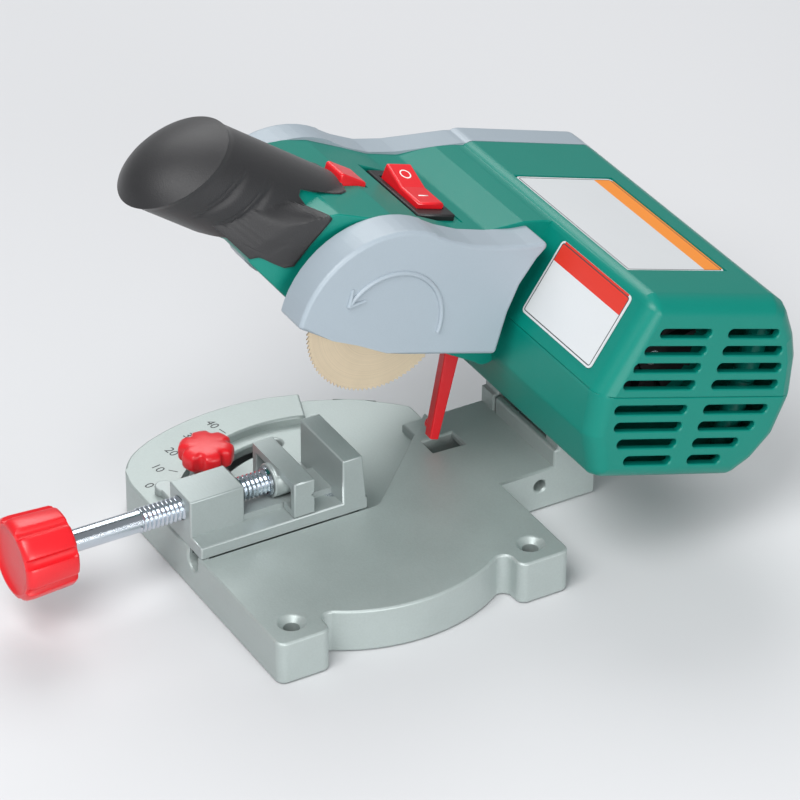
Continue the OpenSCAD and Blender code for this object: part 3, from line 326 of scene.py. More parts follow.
def feed(group, value, socket):
    """Sets a socket to a number, or links it to another socket."""
    if isinstance(value, (int, float)):
        socket.default_value = value
    else:
        group.links.new(value, socket)


def math_node(group, operation, first, second):
    """The sum, difference or product of two numbers or sockets."""
    node = group.nodes.new("ShaderNodeMath")
    node.operation = operation
    feed(group, first, node.inputs[0])
    feed(group, second, node.inputs[1])
    return node.outputs[0]


def noise_node(group, vector, scale, detail):
    """A noise of 0 to 1 at a place."""
    node = group.nodes.new("ShaderNodeTexNoise")
    node.inputs["Detail"].default_value = detail
    group.links.new(vector, node.inputs["Vector"])
    feed(group, scale, node.inputs["Scale"])
    return node.outputs["Fac"]


def centred(group, noise, depth):
    """A noise of 0 to 1 as a shift to both sides of nought."""
    return math_node(group, "MULTIPLY", math_node(group, "SUBTRACT", noise, 0.5), depth)


def put_out(group, group_in, group_out, colour_shift, roughness_shift, height):
    """Shifts the group's colour and roughness, and puts them out with a height."""
    tint = group.nodes.new("ShaderNodeVectorMath")
    tint.operation = "SCALE"
    group.links.new(group_in.outputs["Colour"], tint.inputs[0])
    group.links.new(math_node(group, "ADD", colour_shift, 1.0), tint.inputs["Scale"])
    roughness = math_node(group, "ADD", group_in.outputs["Roughness"], roughness_shift)
    group.links.new(tint.outputs[0], group_out.inputs["Colour"])
    group.links.new(roughness, group_out.inputs["Roughness"])
    group.links.new(height, group_out.inputs["Height"])


# Fine grain over slow blotches, for castings, mouldings and rubber
BLOTCH_SCALE = 55.0
grain, grain_in, grain_out = effect_group("surface_grain", (
    ("Colour", "NodeSocketColor", (0.5, 0.5, 0.5, 1)), ("Roughness", "NodeSocketFloat", 0.5),
    ("Grain Scale", "NodeSocketFloat", 2000.0), ("Grain Depth", "NodeSocketFloat", 0.1),
    ("Blotch Depth", "NodeSocketFloat", 0.1), ("Stretch", "NodeSocketVector", (1, 1, 1))))
grain_place = grain.nodes.new("ShaderNodeTexCoord").outputs["Object"]
grain_stretch = grain.nodes.new("ShaderNodeVectorMath")
grain_stretch.operation = "MULTIPLY"
grain.links.new(grain_place, grain_stretch.inputs[0])
grain.links.new(grain_in.outputs["Stretch"], grain_stretch.inputs[1])
grain_fine = noise_node(grain, grain_stretch.outputs[0], grain_in.outputs["Grain Scale"], detail=3)
grain_slow = noise_node(grain, grain_place, BLOTCH_SCALE, detail=2)
grain_shift = math_node(grain, "ADD", centred(grain, grain_fine, grain_in.outputs["Grain Depth"]),
                        centred(grain, grain_slow, grain_in.outputs["Blotch Depth"]))
put_out(grain, grain_in, grain_out, grain_shift, grain_shift, grain_fine)


def finish(name, group, bump, **values):
    """A material whose colour, roughness and relief come from one of the groups."""
    material = bpy.data.materials.new(name)
    material.use_nodes = True
    tree = material.node_tree
    shader = tree.nodes["Principled BSDF"]
    effect = tree.nodes.new("ShaderNodeGroup")
    effect.node_tree = group
    for key, value in values.items():
        title = key.replace("_", " ").title()
        target = effect.inputs.get(title) or shader.inputs[title.replace("Ior", "IOR")]
        target.default_value = value
    relief = tree.nodes.new("ShaderNodeBump")
    relief.inputs["Strength"].default_value = bump
    relief.inputs["Distance"].default_value = RELIEF_HEIGHT
    tree.links.new(effect.outputs["Colour"], shader.inputs["Base Color"])
    tree.links.new(effect.outputs["Roughness"], shader.inputs["Roughness"])
    tree.links.new(effect.outputs["Height"], relief.inputs["Height"])
    tree.links.new(relief.outputs["Normal"], shader.inputs["Normal"])
    return material


cast_grey = finish("cast_grey", grain, bump=0.25, colour=linear(168, 178, 176), roughness=0.46,
                   metallic=0.35, grain_scale=1500.0, grain_depth=0.16, blotch_depth=0.14)
# The middle and radius of the table's two round sides, and of its left front corner with its two ends
table_walls = ((Vector((-46.9, 0.0)) * MM, 56.57 * MM), (Vector((-38.2, -5.75)) * MM, 77.96 * MM))
table_corner = (Vector((-88.46, -29.7)) * MM, 22 * MM, math.radians(-152), math.radians(-90))
eased_copy("base_casting", "table_casting", "cast_base", cast_grey, width=0.7,
           round_walls=table_walls, round_corners=(table_corner,))

# MITRE SCALE
# Numbers and ticks in dark paint on the table's rim, on a round about the vise's swivel.
# They run from nought at the front to forty on the left.
SCALE_MIDDLE = Vector((-51.0, 0.0, 15.0)) * MM
SCALE_START, NUMBER_LEAN = -127.6, math.radians(8)
NUMBER_R, NUMBER_SIZE, NUMBER_PROUD = 58.9 * MM, 4.6 * MM, 0.03 * MM
TICK_R, TICK_LENGTH, TICK_WIDTH, TICK_HEIGHT = 53.6 * MM, 3.2 * MM, 0.35 * MM, 0.06 * MM
scale_shape = bmesh.new()
for mark in (0, 10, 20, 30, 40):
    bearing = math.radians(SCALE_START - mark)
    outward = Vector((math.cos(bearing), math.sin(bearing), 0))
    words = bpy.data.curves.new("scale_number", "FONT")
    words.body, words.size, words.extrude = str(mark), NUMBER_SIZE, NUMBER_PROUD
    words.align_x, words.align_y, words.resolution_u = "CENTER", "CENTER", 3
    stamp = bpy.data.objects.new("scale_number", words)
    bpy.context.scene.collection.objects.link(stamp)
    number = bpy.data.meshes.new_from_object(stamp.evaluated_get(bpy.context.evaluated_depsgraph_get()))
    bpy.data.objects.remove(stamp)
    number_place = Matrix.Translation(SCALE_MIDDLE + NUMBER_R * outward)
    number.transform(number_place @ Matrix.Rotation(NUMBER_LEAN, 4, "Z"))
    scale_shape.from_mesh(number)
    tick_place = Matrix.Translation(SCALE_MIDDLE + TICK_R * outward) @ Matrix.Rotation(bearing, 4, "Z")
    tick_size = Matrix.Diagonal((TICK_LENGTH, TICK_WIDTH, TICK_HEIGHT, 1))
    bmesh.ops.create_cube(scale_shape, size=1, matrix=tick_place @ tick_size)
scale_ink = finish("scale_paint", grain, bump=0.1, colour=linear(58, 60, 62), roughness=0.6,
                   grain_scale=3000.0, grain_depth=0.3)
seated(piece_from(scale_shape, "scale_marks"), "base", "cast_base", scale_ink)

# HINGE PIN, CLIPS AND RETURN SPRING
# A ground steel pin is pressed through the two lugs and kept by two spring clips.
# A torsion spring on it lifts the head.
turned_steel = finish("turned_steel", grain, bump=0.12, colour=linear(196, 200, 205), roughness=0.26,
                      metallic=1.0, grain_scale=900.0, grain_depth=0.14, blotch_depth=0.06,
                      stretch=(14, 1, 1))
black_oxide = finish("black_oxide", grain, bump=0.15, colour=linear(62, 62, 66), roughness=0.42,
                     metallic=0.9, grain_scale=1800.0, grain_depth=0.2, blotch_depth=0.2)


def dressed(material, *nodes):
    """Gives a CAD solid that keeps its own shape a better finish."""
    for node in nodes:
        for held in frame["nodes"][node].material_slots:
            held.material = material


dressed(turned_steel, "hinge_pin", "head_return_spring")
dressed(black_oxide, "hinge_pin_clips")

# VISE BED, POINTER AND MOVING JAW
# Bed, nut block and fixed jaw are one small casting that turns on a pivot screw in the table.
# A pointer tab turns with it, and the moving jaw, a second casting, slides on the bed's rail.
# Their working faces are milled, so the grain runs across the jaws.
vise_grey = finish("vise_grey", grain, bump=0.2, colour=linear(166, 175, 174), roughness=0.42,
                   metallic=0.45, grain_scale=1300.0, grain_depth=0.14, blotch_depth=0.12,
                   stretch=(0.35, 1, 1))
for node, name, width in (("vise_bed", "vise_casting", 0.45), ("moving_jaw", "sliding_jaw", 0.4),
                          ("angle_pointer", "pointer_tab", 0.4)):
    eased_copy(node, name, "cast_vise", vise_grey, width)
dressed(turned_steel, "vise_pivot_screw", "lock_stud")

# VISE SCREW
# A zinc-plated bar with a rolled thread, turned down to a plain shank in front of the nut block.
# The jaw's collar is kept on it by a spring ring.
zinc = finish("bright_zinc", grain, bump=0.08, colour=linear(206, 214, 222), roughness=0.2,
              metallic=1.0, grain_scale=700.0, grain_depth=0.12, blotch_depth=0.1, stretch=(1, 12, 1))
THREAD_R, THREAD_ROOT, SHANK_R, PITCH = 4.0 * MM, 3.35 * MM, 3.6 * MM, 1.5 * MM
THREAD_Y, TIP_LENGTH = -67.0 * MM, 1.6 * PITCH
THREAD_STEPS, BAR_SIDES = 24, 48
THREAD_FORM = ((THREAD_ROOT, 0.0), (THREAD_R, 0.42), (THREAD_R, 0.55), (THREAD_ROOT, 1.0))
ALONG_Y = Matrix.Rotation(math.pi / 2, 4, "X")
screw_lo, screw_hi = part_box("vise_screw")
screw_mid = (screw_lo + screw_hi) / 2
thread_turns = int((screw_hi.y - THREAD_Y) / PITCH) - 1
screw_shape = bmesh.new()
flank = [screw_shape.verts.new((screw_mid.x + r, THREAD_Y + y * PITCH, screw_mid.z))
         for r, y in THREAD_FORM]
flank_edges = [screw_shape.edges.new(pair) for pair in zip(flank, flank[1:])]
bmesh.ops.spin(screw_shape, geom=flank + flank_edges, cent=(screw_mid.x, 0, screw_mid.z), axis=(0, 1, 0),
               dvec=(0, PITCH / THREAD_STEPS, 0), angle=2 * math.pi * thread_turns,
               steps=THREAD_STEPS * thread_turns)
bmesh.ops.remove_doubles(screw_shape, verts=screw_shape.verts, dist=0.002 * MM)
bmesh.ops.holes_fill(screw_shape, edges=[e for e in screw_shape.edges if e.is_boundary], sides=0)
for low, high, radius in ((screw_lo.y, THREAD_Y + PITCH, SHANK_R),
                          (screw_hi.y - TIP_LENGTH, screw_hi.y, THREAD_ROOT)):
    bar_place = Matrix.Translation((screw_mid.x, (low + high) / 2, screw_mid.z)) @ ALONG_Y
    bmesh.ops.create_cone(screw_shape, cap_ends=True, segments=BAR_SIDES, radius1=radius, radius2=radius,
                          depth=high - low, matrix=bar_place)
bmesh.ops.recalc_face_normals(screw_shape, faces=screw_shape.faces)
screw = seated(piece_from(screw_shape, "threaded_screw", sharp_angle=30), "screw", "zinc_steel", zinc)
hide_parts("vise_screw")
dressed(zinc, "screw_retaining_ring")

# SCREW KNOB AND LOCK KNOB
# Both are red nylon mouldings: a fluted hand knob with a dished face on the screw,
# and a lobed clamping knob with a domed top on the lock stud.
red_nylon = finish("red_nylon", grain, bump=0.14, colour=linear(218, 24, 34), roughness=0.34,
                   grain_scale=1600.0, grain_depth=0.10, blotch_depth=0.10,
                   coat_weight=0.15, coat_roughness=0.3)
FLUTE_DEPTH, HAND_SIDES, LOCK_SIDES = 1.7, 192, 144
HAND_R, HAND_FLUTES, HAND_FLUTE_WIDTH = 13.4, 8, 0.17
LOCK_R, LOCK_FLUTES, LOCK_FLUTE_WIDTH, LOCK_TURN = 9.0, 6, 0.26, 0.2
HAND_RINGS = ((0.0, 0.50, 0), (0.0, 0.86, 0.4), (0.5, 0.92, 0.8), (1.4, 0.95, 1), (14.5, 1.0, 1),
              (16.4, 0.99, 0.9), (17.4, 0.95, 0.4), (18.0, 0.88, 0), (18.0, 0.83, 0), (17.2, 0.78, 0),
              (16.6, 0.60, 0), (16.4, 0.2, 0))
LOCK_RINGS = ((0.0, 0.45, 0.6), (0.0, 0.62, 0.8), (1.2, 0.72, 0.9), (2.6, 0.95, 1), (3.4, 0.99, 1),
              (6.4, 1.0, 1), (7.6, 0.96, 0.95), (8.3, 0.86, 0.8), (8.7, 0.66, 0.5), (8.95, 0.4, 0.2),
              (9.0, 0.12, 0))


def first_ring(shape, segments):
    """A round of corners and edges to draw a body out from."""
    corners = bmesh.ops.create_circle(shape, segments=segments, radius=1)["verts"]
    return corners, list(dict.fromkeys(e for v in corners for e in v.link_edges))


def next_ring(shape, edges):
    """The corners and edges of the ring that is drawn out from a ring of edges."""
    grown = bmesh.ops.extrude_edge_only(shape, edges=edges)["geom"]
    return ([g for g in grown if isinstance(g, bmesh.types.BMVert)],
            [g for g in grown if isinstance(g, bmesh.types.BMEdge)])


def fluted_body(segments, radius_at, rings, place):
    """A body of rings, each with its height in mm, its share of the radius and its share of the flutes."""
    shape = bmesh.new()
    corners, edges = first_ring(shape, segments)
    bottom = edges
    for step, (height, share, flute) in enumerate(rings):
        if step:
            corners, edges = next_ring(shape, edges)
        for v in corners:
            turn = math.atan2(v.co.y, v.co.x)
            r = radius_at(turn, flute) * share
            v.co = Vector((r * math.cos(turn), r * math.sin(turn), height * MM))
    bmesh.ops.contextual_create(shape, geom=bottom)
    bmesh.ops.contextual_create(shape, geom=edges)
    bmesh.ops.recalc_face_normals(shape, faces=shape.faces)
    bmesh.ops.transform(shape, matrix=place, verts=shape.verts)
    return shape


def hand_knob_radius(turn, flute):
    """A round with flat-bottomed flutes."""
    across = abs((turn * HAND_FLUTES / (2 * math.pi)) % 1 - 0.5) / HAND_FLUTE_WIDTH
    return (HAND_R - FLUTE_DEPTH * flute * max(0.0, 1 - across ** 4)) * MM


def lock_knob_radius(turn, flute):
    """A round with soft hollows between its lobes."""
    across = abs((turn * LOCK_FLUTES / (2 * math.pi) + LOCK_TURN) % 1 - 0.5) / LOCK_FLUTE_WIDTH
    return (LOCK_R - FLUTE_DEPTH * flute * max(0.0, 1 - across ** 2) ** 1.5) * MM


knob_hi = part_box("screw_knob")[1]
hand_place = Matrix.Translation((screw_mid.x, knob_hi.y, screw_mid.z)) @ ALONG_Y
hand_shape = fluted_body(HAND_SIDES, hand_knob_radius, HAND_RINGS, hand_place)
hand_piece = piece_from(hand_shape, "hand_knob", sharp_angle=38)
hand_knob = seated(hand_piece, "screw", "red_plastic", red_nylon)
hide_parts("screw_knob")
lock_lo, lock_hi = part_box("lock_knob")
lock_mid = (lock_lo + lock_hi) / 2
lock_place = Matrix.Translation((lock_mid.x, lock_mid.y, lock_lo.z))
lock_shape = fluted_body(LOCK_SIDES, lock_knob_radius, LOCK_RINGS, lock_place)
clamp_piece = piece_from(lock_shape, "clamp_knob", sharp_angle=42)
clamp_knob = seated(clamp_piece, "lock_knob", "red_plastic", red_nylon)
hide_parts("lock_knob")

# HEAD SHELLS
# The head is two glass-filled nylon mouldings that screws hold together on the motor's axis.
# The handle's core is part of the upper one.
# The tool is spark-eroded, so the green skin has an even fine texture.
HINGE_Y, HINGE_Z, HEAD_LEAN = 80.25 * MM, 24.0 * MM, math.radians(-17)
HEAD = Matrix.Translation((0, HINGE_Y, HINGE_Z)) @ Matrix.Rotation(HEAD_LEAN, 4, "X")
moulded_green = finish("moulded_green", grain, bump=0.16, colour=linear(0, 122, 108), roughness=0.36,
                       specular_ior_level=0.32, grain_scale=2600.0, grain_depth=0.09, blotch_depth=0.06,
                       coat_weight=0.04, coat_roughness=0.35)
for node, name in (("lower_shell", "lower_moulding"), ("upper_shell", "upper_moulding")):
    eased_copy(node, name, "green_shell", moulded_green, width=0.4, sharp=55)
dressed(turned_steel, "shell_screws", "guard_screws", "belt_cover_screws")

# BLADE GUARD AND BELT COVER
# Two pale grey mouldings are screwed to the arm's sides: a hood over the blade and a cover over the belt.
# The hood's face has a raised arrow for the blade's turn.
moulded_grey = finish("moulded_grey", grain, bump=0.14, colour=linear(154, 166, 175), roughness=0.40,
                      grain_scale=2600.0, grain_depth=0.08, blotch_depth=0.05,
                      coat_weight=0.05, coat_roughness=0.4)
GUARD_FACE, COVER_FACE = -31.0 * MM, -109.0 * MM
SPINDLE_U, SPINDLE_V = -86.7 * MM, 40.3 * MM
ARROW_R, ARROW_START, ARROW_SWEEP = 18.3 * MM, math.radians(-5), math.radians(163)
RIDGE_R, RIDGE_FLATNESS, RIDGE_SIDES, RIDGE_STEPS = 0.85 * MM, 0.9, 10, 48
BARBS, BARB_LENGTH, BARB_OFFSET, BARB_TAPER = (25, -48), 6.0 * MM, 2.8 * MM, 0.6
for node, name, face_x in (("blade_guard", "guard_hood", GUARD_FACE),
                           ("belt_cover", "belt_hood", COVER_FACE)):
    eased_copy(node, name, "grey_cover", moulded_grey, width=1.4, segments=4, only_x=face_x)
arrow_x = GUARD_FACE + 0.05 * MM
arrow_middle = (0, SPINDLE_U, SPINDLE_V)
arrow_shape = bmesh.new()
ridge_place = Matrix.Translation((arrow_x, SPINDLE_U + ARROW_R, SPINDLE_V))
bmesh.ops.create_circle(arrow_shape, segments=RIDGE_SIDES, radius=RIDGE_R, cap_ends=True,
                        matrix=ridge_place @ Matrix.Diagonal((RIDGE_FLATNESS, 1, 1, 1)))
bmesh.ops.rotate(arrow_shape, verts=arrow_shape.verts, cent=arrow_middle,
                 matrix=Matrix.Rotation(ARROW_START, 3, "X"))
bmesh.ops.spin(arrow_shape, geom=arrow_shape.faces[:] + arrow_shape.edges[:] + arrow_shape.verts[:],
               cent=arrow_middle, axis=(1, 0, 0), angle=ARROW_SWEEP, steps=RIDGE_STEPS)
tip_turn = ARROW_START + ARROW_SWEEP
tip = Vector((arrow_x, SPINDLE_U + ARROW_R * math.cos(tip_turn), SPINDLE_V + ARROW_R * math.sin(tip_turn)))
for barb in BARBS:
    heading = tip_turn + 1.5 * math.pi + math.radians(barb)
    along = Vector((0, math.cos(heading), math.sin(heading)))
    barb_turn = along.to_track_quat("Z", "X").to_matrix().to_4x4()
    bmesh.ops.create_cone(arrow_shape, cap_ends=True, segments=RIDGE_SIDES, radius1=RIDGE_R,
                          radius2=RIDGE_R * BARB_TAPER, depth=BARB_LENGTH,
                          matrix=Matrix.Translation(tip + along * BARB_OFFSET) @ barb_turn)
bmesh.ops.recalc_face_normals(arrow_shape, faces=arrow_shape.faces)
bmesh.ops.transform(arrow_shape, matrix=HEAD, verts=arrow_shape.verts)
seated(piece_from(arrow_shape, "turn_arrow"), "head", "grey_cover", moulded_grey)

# HANDLE GRIP
# A soft black rubber sleeve drawn over the handle's core, with a leaning domed end and two finger grooves
# on each side. Its rear edge is forked: one finger reaches back along the top to the trigger.
# Its sizes are in mm along and out from the handle's axis, and in degrees from the handle's top.
GRIP_PLACE, GRIP_LEAN = Vector((-70.5, -93.5, 55.4)) * MM, math.radians(90 - 18.6)
GRIP = HEAD @ Matrix.Translation(GRIP_PLACE) @ Matrix.Rotation(GRIP_LEAN, 4, "X")
GRIP_R, GRIP_SIDES, GRIP_WALL = 17.0, 240, 1.5
BODY_RINGS, BODY_INSET, RIM_FADE = 72, 0.45, 1.6
CAP_RINGS, CAP_MID, CAP_LEAN, CAP_RISE, CAP_CLOSE = 18, 62.0, 8.5, 8.0, 0.94
CAP_FIRST, CAP_LINE, CAP_LINE_WIDTH, CAP_LINE_DEPTH = 0.992, 0.90, 0.025, 0.5
GROOVES, GROOVE_SIDE, GROOVE_SPAN = (49.5, 39.0), 91, 38
BEND, BEND_SIDE, BEND_SPAN, BEND_UPPER = 4.5, 88, 36, 0.8
HOLLOW_DEPTH, HOLLOW_WIDTH, CREASE_DEPTH, CREASE_WIDTH, CREASE_RUN = 0.9, 0.4, 0.35, 0.55, 2.4
SHELL_REACH, FLARE_STEP, FLARE_STEPS, FLARE_GAP = 30, 0.7, 40, 0.6
FLARE_SLOPE, SLOPE_DROP, SLOPE_SIDE, SLOPE_SPAN = 1.2, 0.75, 62, 30
SKIRT_SIDE, SKIRT_NEAR, SKIRT_GROOVE, SKIRT_SWEEPS, SKIRT_GAP = 104, 0.4, 0.15, 14, 0.5
FORK = ((0, 5.5), (20, 5.5), (33, 6.5), (39, 9.0), (49, 24.6), (58, 25.0), (71, 17.9), (95, 19.1),
        (114, 19.6), (119, 22.0), (122, 30.0), (140, 38.0), (157, 44.0), (180, 46.0))
shell_tree = solids_tree(frame["nodes"][node] for node in ("upper_shell", "lower_shell"))


def fork_edge(side):
    """Where the sleeve starts along the handle."""
    for (low, start), (high, end) in zip(FORK, FORK[1:]):
        if low <= side <= high:
            return start + (end - start) * (side - low) / (high - low)


def groove_depth(side, run):
    """The depth of the finger grooves, each a hollow with a crease beside it."""
    depth = 0.0
    for middle in GROOVES:
        bend = middle + BEND * ((side - BEND_SIDE) / BEND_SPAN) * (1 if side > BEND_SIDE else BEND_UPPER)
        reach = max(0.0, 1 - ((side - GROOVE_SIDE) / GROOVE_SPAN) ** 2)
        crease = CREASE_DEPTH * math.exp(-((run - bend - CREASE_RUN) / CREASE_WIDTH) ** 2)
        hollow = HOLLOW_DEPTH * math.exp(-((run - bend) / (HOLLOW_WIDTH + reach)) ** 2)
        depth += reach * (crease + hollow)
    return depth


def shell_radius(turn, run):
    """How far the head's shell stands out from the handle's axis, or nought where it is out of reach."""
    ray = GRIP.to_3x3() @ Vector((math.sin(math.radians(turn)), math.cos(math.radians(turn)), 0))
    start = GRIP @ Vector((0, 0, run * MM)) + ray * SHELL_REACH * MM
    hit = shell_tree.ray_cast(start, -ray, SHELL_REACH * MM)
    return SHELL_REACH - hit[3] / MM if hit[0] else 0.0


def flare(turn):
    """The places along one line of the sleeve where the shell lifts it, as (run, radius)."""
    runs = [fork_edge(abs(turn)) + FLARE_STEP * i for i in range(FLARE_STEPS)]
    return [(run, shell_radius(turn, run) + FLARE_GAP) for run in runs]


def flared(places, side, run):
    """The sleeve's radius where it is drawn over the shell, falling off along the handle."""
    slope = FLARE_SLOPE - SLOPE_DROP * min(1, max(0, (side - SLOPE_SIDE) / SLOPE_SPAN))
    return max(r - slope * abs(run - place) for place, r in places)


grip_shape = bmesh.new()
ring, ring_edges = first_ring(grip_shape, GRIP_SIDES)
flares, skirt = {}, []
for step in range(BODY_RINGS + CAP_RINGS + 1):
    if step:
        ring, ring_edges = next_ring(grip_shape, ring_edges)
    for v in ring:
        turn = math.degrees(math.atan2(v.co.x, v.co.y))
        side = abs(turn)
        lean = CAP_LEAN * math.cos(math.radians(side))
        if step <= BODY_RINGS:
            rim = CAP_MID - lean
            run = fork_edge(side) + (rim - fork_edge(side)) * step / BODY_RINGS
            line = round(turn, 2)
            if line not in flares:
                flares[line] = flare(turn)
            inset = BODY_INSET - BODY_INSET * math.exp(-((rim - run) / RIM_FADE) ** 2)
            sleeve = GRIP_R - inset - groove_depth(side, run)
            drawn = flared(flares[line], side, run)
            radius = max(sleeve, drawn)
            plain = groove_depth(side, run) < SKIRT_GROOVE
            if step and side < SKIRT_SIDE and drawn > sleeve - SKIRT_NEAR and plain:
                skirt.append(v)
        else:
            share = 1 - CAP_CLOSE * math.sin((step - BODY_RINGS) / CAP_RINGS * math.pi / 2)
            share = share if step > BODY_RINGS + 1 else CAP_FIRST
            radius = GRIP_R * share
            run = CAP_MID - lean * share + CAP_RISE * (1 - share ** 2)
            run -= CAP_LINE_DEPTH * math.exp(-((share - CAP_LINE) / CAP_LINE_WIDTH) ** 2)
        v.co.x = radius * math.sin(math.radians(turn)) * MM
        v.co.y = radius * math.cos(math.radians(turn)) * MM
        v.co.z = run * MM
for _ in range(SKIRT_SWEEPS):
    bmesh.ops.smooth_vert(grip_shape, verts=skirt, factor=0.5,
                          use_axis_x=True, use_axis_y=True, use_axis_z=True)
for v in skirt:
    need = shell_radius(math.degrees(math.atan2(v.co.x, v.co.y)), v.co.z / MM) + SKIRT_GAP
    lift = max(1.0, need * MM / math.hypot(v.co.x, v.co.y))
    v.co.x, v.co.y = v.co.x * lift, v.co.y * lift
bmesh.ops.contextual_create(grip_shape, geom=ring_edges)
bmesh.ops.recalc_face_normals(grip_shape, faces=grip_shape.faces)
bmesh.ops.transform(grip_shape, matrix=GRIP, verts=grip_shape.verts)
soft_black = finish("soft_black", grain, bump=0.3, colour=linear(30, 30, 32), roughness=0.52,
                    grain_scale=2200.0, grain_depth=0.16, blotch_depth=0.08, sheen_weight=0.12)
grip = seated(piece_from(grip_shape, "rubber_grip", sharp_angle=28), "head", "black_rubber", soft_black)
skin = grip.modifiers.new("sleeve_wall", "SOLIDIFY")
skin.thickness, skin.offset = GRIP_WALL * MM, -1
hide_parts("handle_grip")

# SWITCH
# A rocker switch let into the top of the arm: a black nylon frame with a red rocker on two trunnions.
# The rocker is printed in white with a ring for off and a bar for on.
KEY_TILT, PRINT_THICKNESS = math.radians(8), 0.08 * MM
MARK_X, MARK_Z, RING_RADII, BAR_SIZE = 6.0, 3.92, (2.0, 1.55), (0.28, 1.8)
black_nylon = finish("black_nylon", grain, bump=0.2, colour=linear(26, 26, 28), roughness=0.42,
                     grain_scale=2000.0, grain_depth=0.14, blotch_depth=0.08)
white_print = finish("white_print", grain, bump=0.05, colour=linear(238, 236, 232), roughness=0.5,
                     grain_scale=3000.0, grain_depth=0.06)
eased_copy("switch_bezel", "switch_frame", "black_plastic", black_nylon, width=0.5, segments=3)
eased_copy("switch_rocker", "rocker_key", "red_plastic", red_nylon, width=0.7, segments=3)
ROCKER = (HEAD @ Matrix.Translation(Vector((-66.8, -66.1, 68.0)) * MM)
          @ Matrix.Rotation(KEY_TILT, 4, "Y"))
off_place, on_place = (
    ROCKER @ Matrix.Translation(Vector((x, 0, MARK_Z)) * MM) @ Matrix.Rotation(tilt, 4, "Y")
    for x, tilt in ((-MARK_X, KEY_TILT), (MARK_X, -KEY_TILT)))
print_shape = bmesh.new()
for radius in RING_RADII:
    bmesh.ops.create_circle(print_shape, segments=40, radius=radius * MM, matrix=off_place)
bmesh.ops.bridge_loops(print_shape, edges=print_shape.edges[:])
bmesh.ops.create_grid(print_shape, x_segments=1, y_segments=1, size=1,
                      matrix=on_place @ Matrix.Diagonal((BAR_SIZE[0] * MM, BAR_SIZE[1] * MM, 1, 1)))
bmesh.ops.recalc_face_normals(print_shape, faces=print_shape.faces)
switch_marks = seated(piece_from(print_shape, "switch_marks"), "rocker", "red_plastic", white_print)
switch_marks.modifiers.new("print_thickness", "SOLIDIFY").thickness = PRINT_THICKNESS

# TRIGGER
# The red trigger and its long strut are one nylon moulding.
# It pivots in the arm on a steel pin, against a small spring.
eased_copy("trigger_lever", "trigger_moulding", "red_plastic", red_nylon, width=0.5, segments=3)
dressed(turned_steel, "lever_pivot_pin", "lever_return_spring")

# LABEL PLATES
# Two bare printed plates, each with a thin dark border and a plain colour band along one side.
# One is let into the motor housing's top and one is stuck on its sloping front.
PLATE_THICKNESS, PLATE_CORNER, FACING_UP = 0.4 * MM, 1.6 * MM, 0.9
PLATE_MARGIN, BORDER_WIDTH, BAND_AREA = 0.7 * MM, 0.35 * MM, 20 * MM * MM
FRONT_SLOPE = math.atan2(33.0, 10.4)
plate_white, plate_orange, plate_red = (
    finish(name, grain, bump=0.04, colour=colour, roughness=0.38, grain_scale=1200.0,
           grain_depth=depth, blotch_depth=depth)
    for name, colour, depth in (("plate_white", linear(206, 209, 211), 0.03),
                                ("plate_orange", linear(236, 140, 40), 0.04),
                                ("plate_red", linear(206, 52, 38), 0.04)))
top_place = HEAD @ Matrix.Translation(Vector((-39.0, -5.0, 72.75)) * MM)
front_place = (HEAD @ Matrix.Translation(Vector((-13.7, -33.05, 57.3)) * MM)
               @ Matrix.Rotation(FRONT_SLOPE, 4, "X"))
for name, length, width, band, band_paint, place in (
        ("top_plate", 66.2, 38.2, 7.5, plate_orange, top_place),
        ("front_plate", 39.5, 26.0, 7.0, plate_red, front_place)):
    band_y = (width / 2 - band) * MM
    plate_shape = bmesh.new()
    plate_size = Matrix.Diagonal((length * MM, width * MM, PLATE_THICKNESS, 1))
    bmesh.ops.create_cube(plate_shape, size=1, matrix=plate_size)
    uprights = [e for e in plate_shape.edges
                if abs((e.verts[0].co - e.verts[1].co).z) > PLATE_THICKNESS / 2]
    bmesh.ops.bevel(plate_shape, geom=uprights, offset=PLATE_CORNER, segments=6, profile=0.5,
                    affect="EDGES", material=-1)
    face_up = [f for f in plate_shape.faces if f.normal.z > FACING_UP]
    bmesh.ops.inset_region(plate_shape, faces=face_up, thickness=PLATE_MARGIN)
    for face in bmesh.ops.inset_region(plate_shape, faces=face_up, thickness=BORDER_WIDTH)["faces"]:
        face.material_index = 2
    bmesh.ops.bisect_plane(plate_shape, geom=with_borders(face_up),
                           plane_co=(0, band_y, 0), plane_no=(0, 1, 0))
    for face in plate_shape.faces:
        in_band = face.normal.z > FACING_UP and face.calc_center_median().y > band_y
        if in_band and face.material_index == 0 and face.calc_area() > BAND_AREA:
            face.material_index = 1
    bmesh.ops.transform(plate_shape, matrix=place, verts=plate_shape.verts)
    seated(piece_from(plate_shape, name), "head", "grey_cover", plate_white, band_paint, scale_ink)

# MOTOR, FAN, BELT AND PULLEYS
# A canned motor lies across the head between the shells, with a nylon fan at the vents.
# A flat rubber belt runs from its small plain pulley to the larger one on the blade's spindle.
can_lacquer = finish("can_lacquer", grain, bump=0.1, colour=linear(96, 98, 102), roughness=0.35,
                     metallic=0.6, grain_scale=1200.0, grain_depth=0.1, blotch_depth=0.12)
dressed(can_lacquer, "motor_can")
dressed(black_nylon, "cooling_fan", "motor_pulley", "spindle_pulley")
dressed(soft_black, "drive_belt")
dressed(turned_steel, "motor_shaft", "spindle", "spindle_bearings")

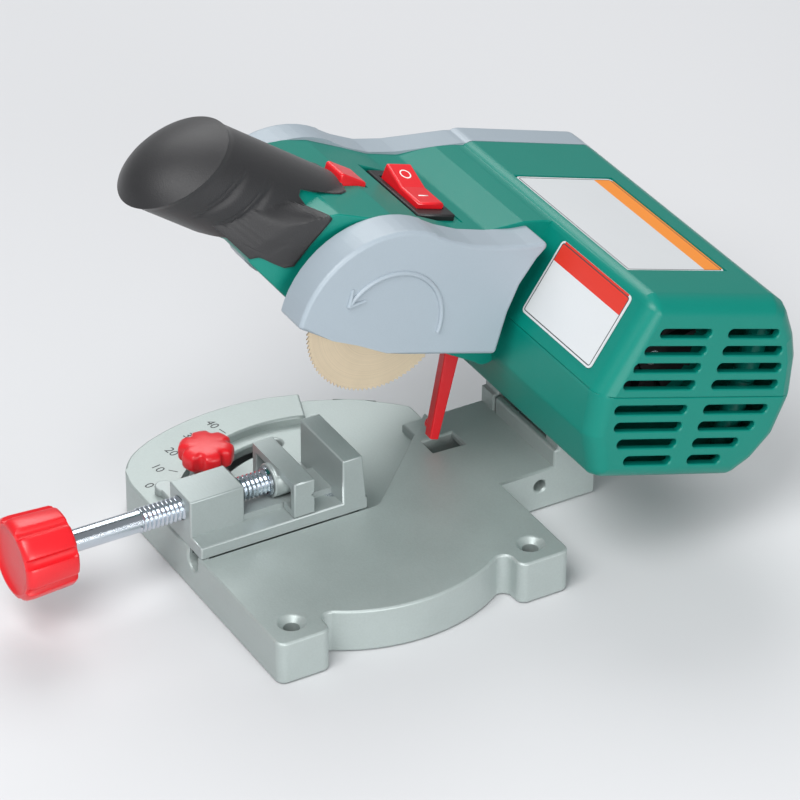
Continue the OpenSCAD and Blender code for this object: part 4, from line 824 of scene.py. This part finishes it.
# BLADE AND FLANGES
# A thin toothed blade of hard steel, ground flat in rings and straw-tinted by its temper.
# A screw in the spindle's end holds it between two turned flanges.
BLADE_X = -37.5 * MM
RING_SCALE, STAIN_SCALE, STAIN_DEPTH = 2600.0, 120.0, 0.16
rings, rings_in, rings_out = effect_group("ground_rings", (
    ("Colour", "NodeSocketColor", (0.5, 0.5, 0.5, 1)), ("Roughness", "NodeSocketFloat", 0.3),
    ("Ring Depth", "NodeSocketFloat", 0.2), ("Centre", "NodeSocketVector", (0, 0, 0))))
rings_place = rings.nodes.new("ShaderNodeTexCoord").outputs["Object"]
rings_off = rings.nodes.new("ShaderNodeVectorMath")
rings_off.operation = "DISTANCE"
rings.links.new(rings_place, rings_off.inputs[0])
rings.links.new(rings_in.outputs["Centre"], rings_off.inputs[1])
rings_line = rings.nodes.new("ShaderNodeTexNoise")
rings_line.noise_dimensions = "1D"
rings_line.inputs["Scale"].default_value = RING_SCALE
rings_line.inputs["Detail"].default_value = 3
rings.links.new(rings_off.outputs["Value"], rings_line.inputs["W"])
rings_shift = centred(rings, rings_line.outputs["Fac"], rings_in.outputs["Ring Depth"])
rings_stain = centred(rings, noise_node(rings, rings_place, STAIN_SCALE, detail=3), STAIN_DEPTH)
rings_sum = math_node(rings, "ADD", rings_shift, rings_stain)
put_out(rings, rings_in, rings_out, rings_sum, rings_shift, rings_line.outputs["Fac"])
blade_centre = HEAD @ Vector((BLADE_X, SPINDLE_U, SPINDLE_V))
straw_steel = finish("straw_steel", rings, bump=0.1, colour=linear(222, 204, 176), roughness=0.36,
                     metallic=0.75, ring_depth=0.22, centre=tuple(blade_centre))
dressed(straw_steel, "saw_blade")
flange_steel = finish("flange_steel", rings, bump=0.1, colour=linear(190, 194, 198), roughness=0.28,
                      metallic=1.0, ring_depth=0.2, centre=tuple(blade_centre))
dressed(flange_steel, "inner_flange", "outer_flange")
dressed(black_oxide, "arbor_screw")

# CORD GLAND
# A short black nylon sleeve with a flange, set in a hole in the motor housing's rear wall.
# Its bore is open.
eased_copy("cord_gland", "rear_gland", "black_plastic", black_nylon, width=0.6, segments=3)
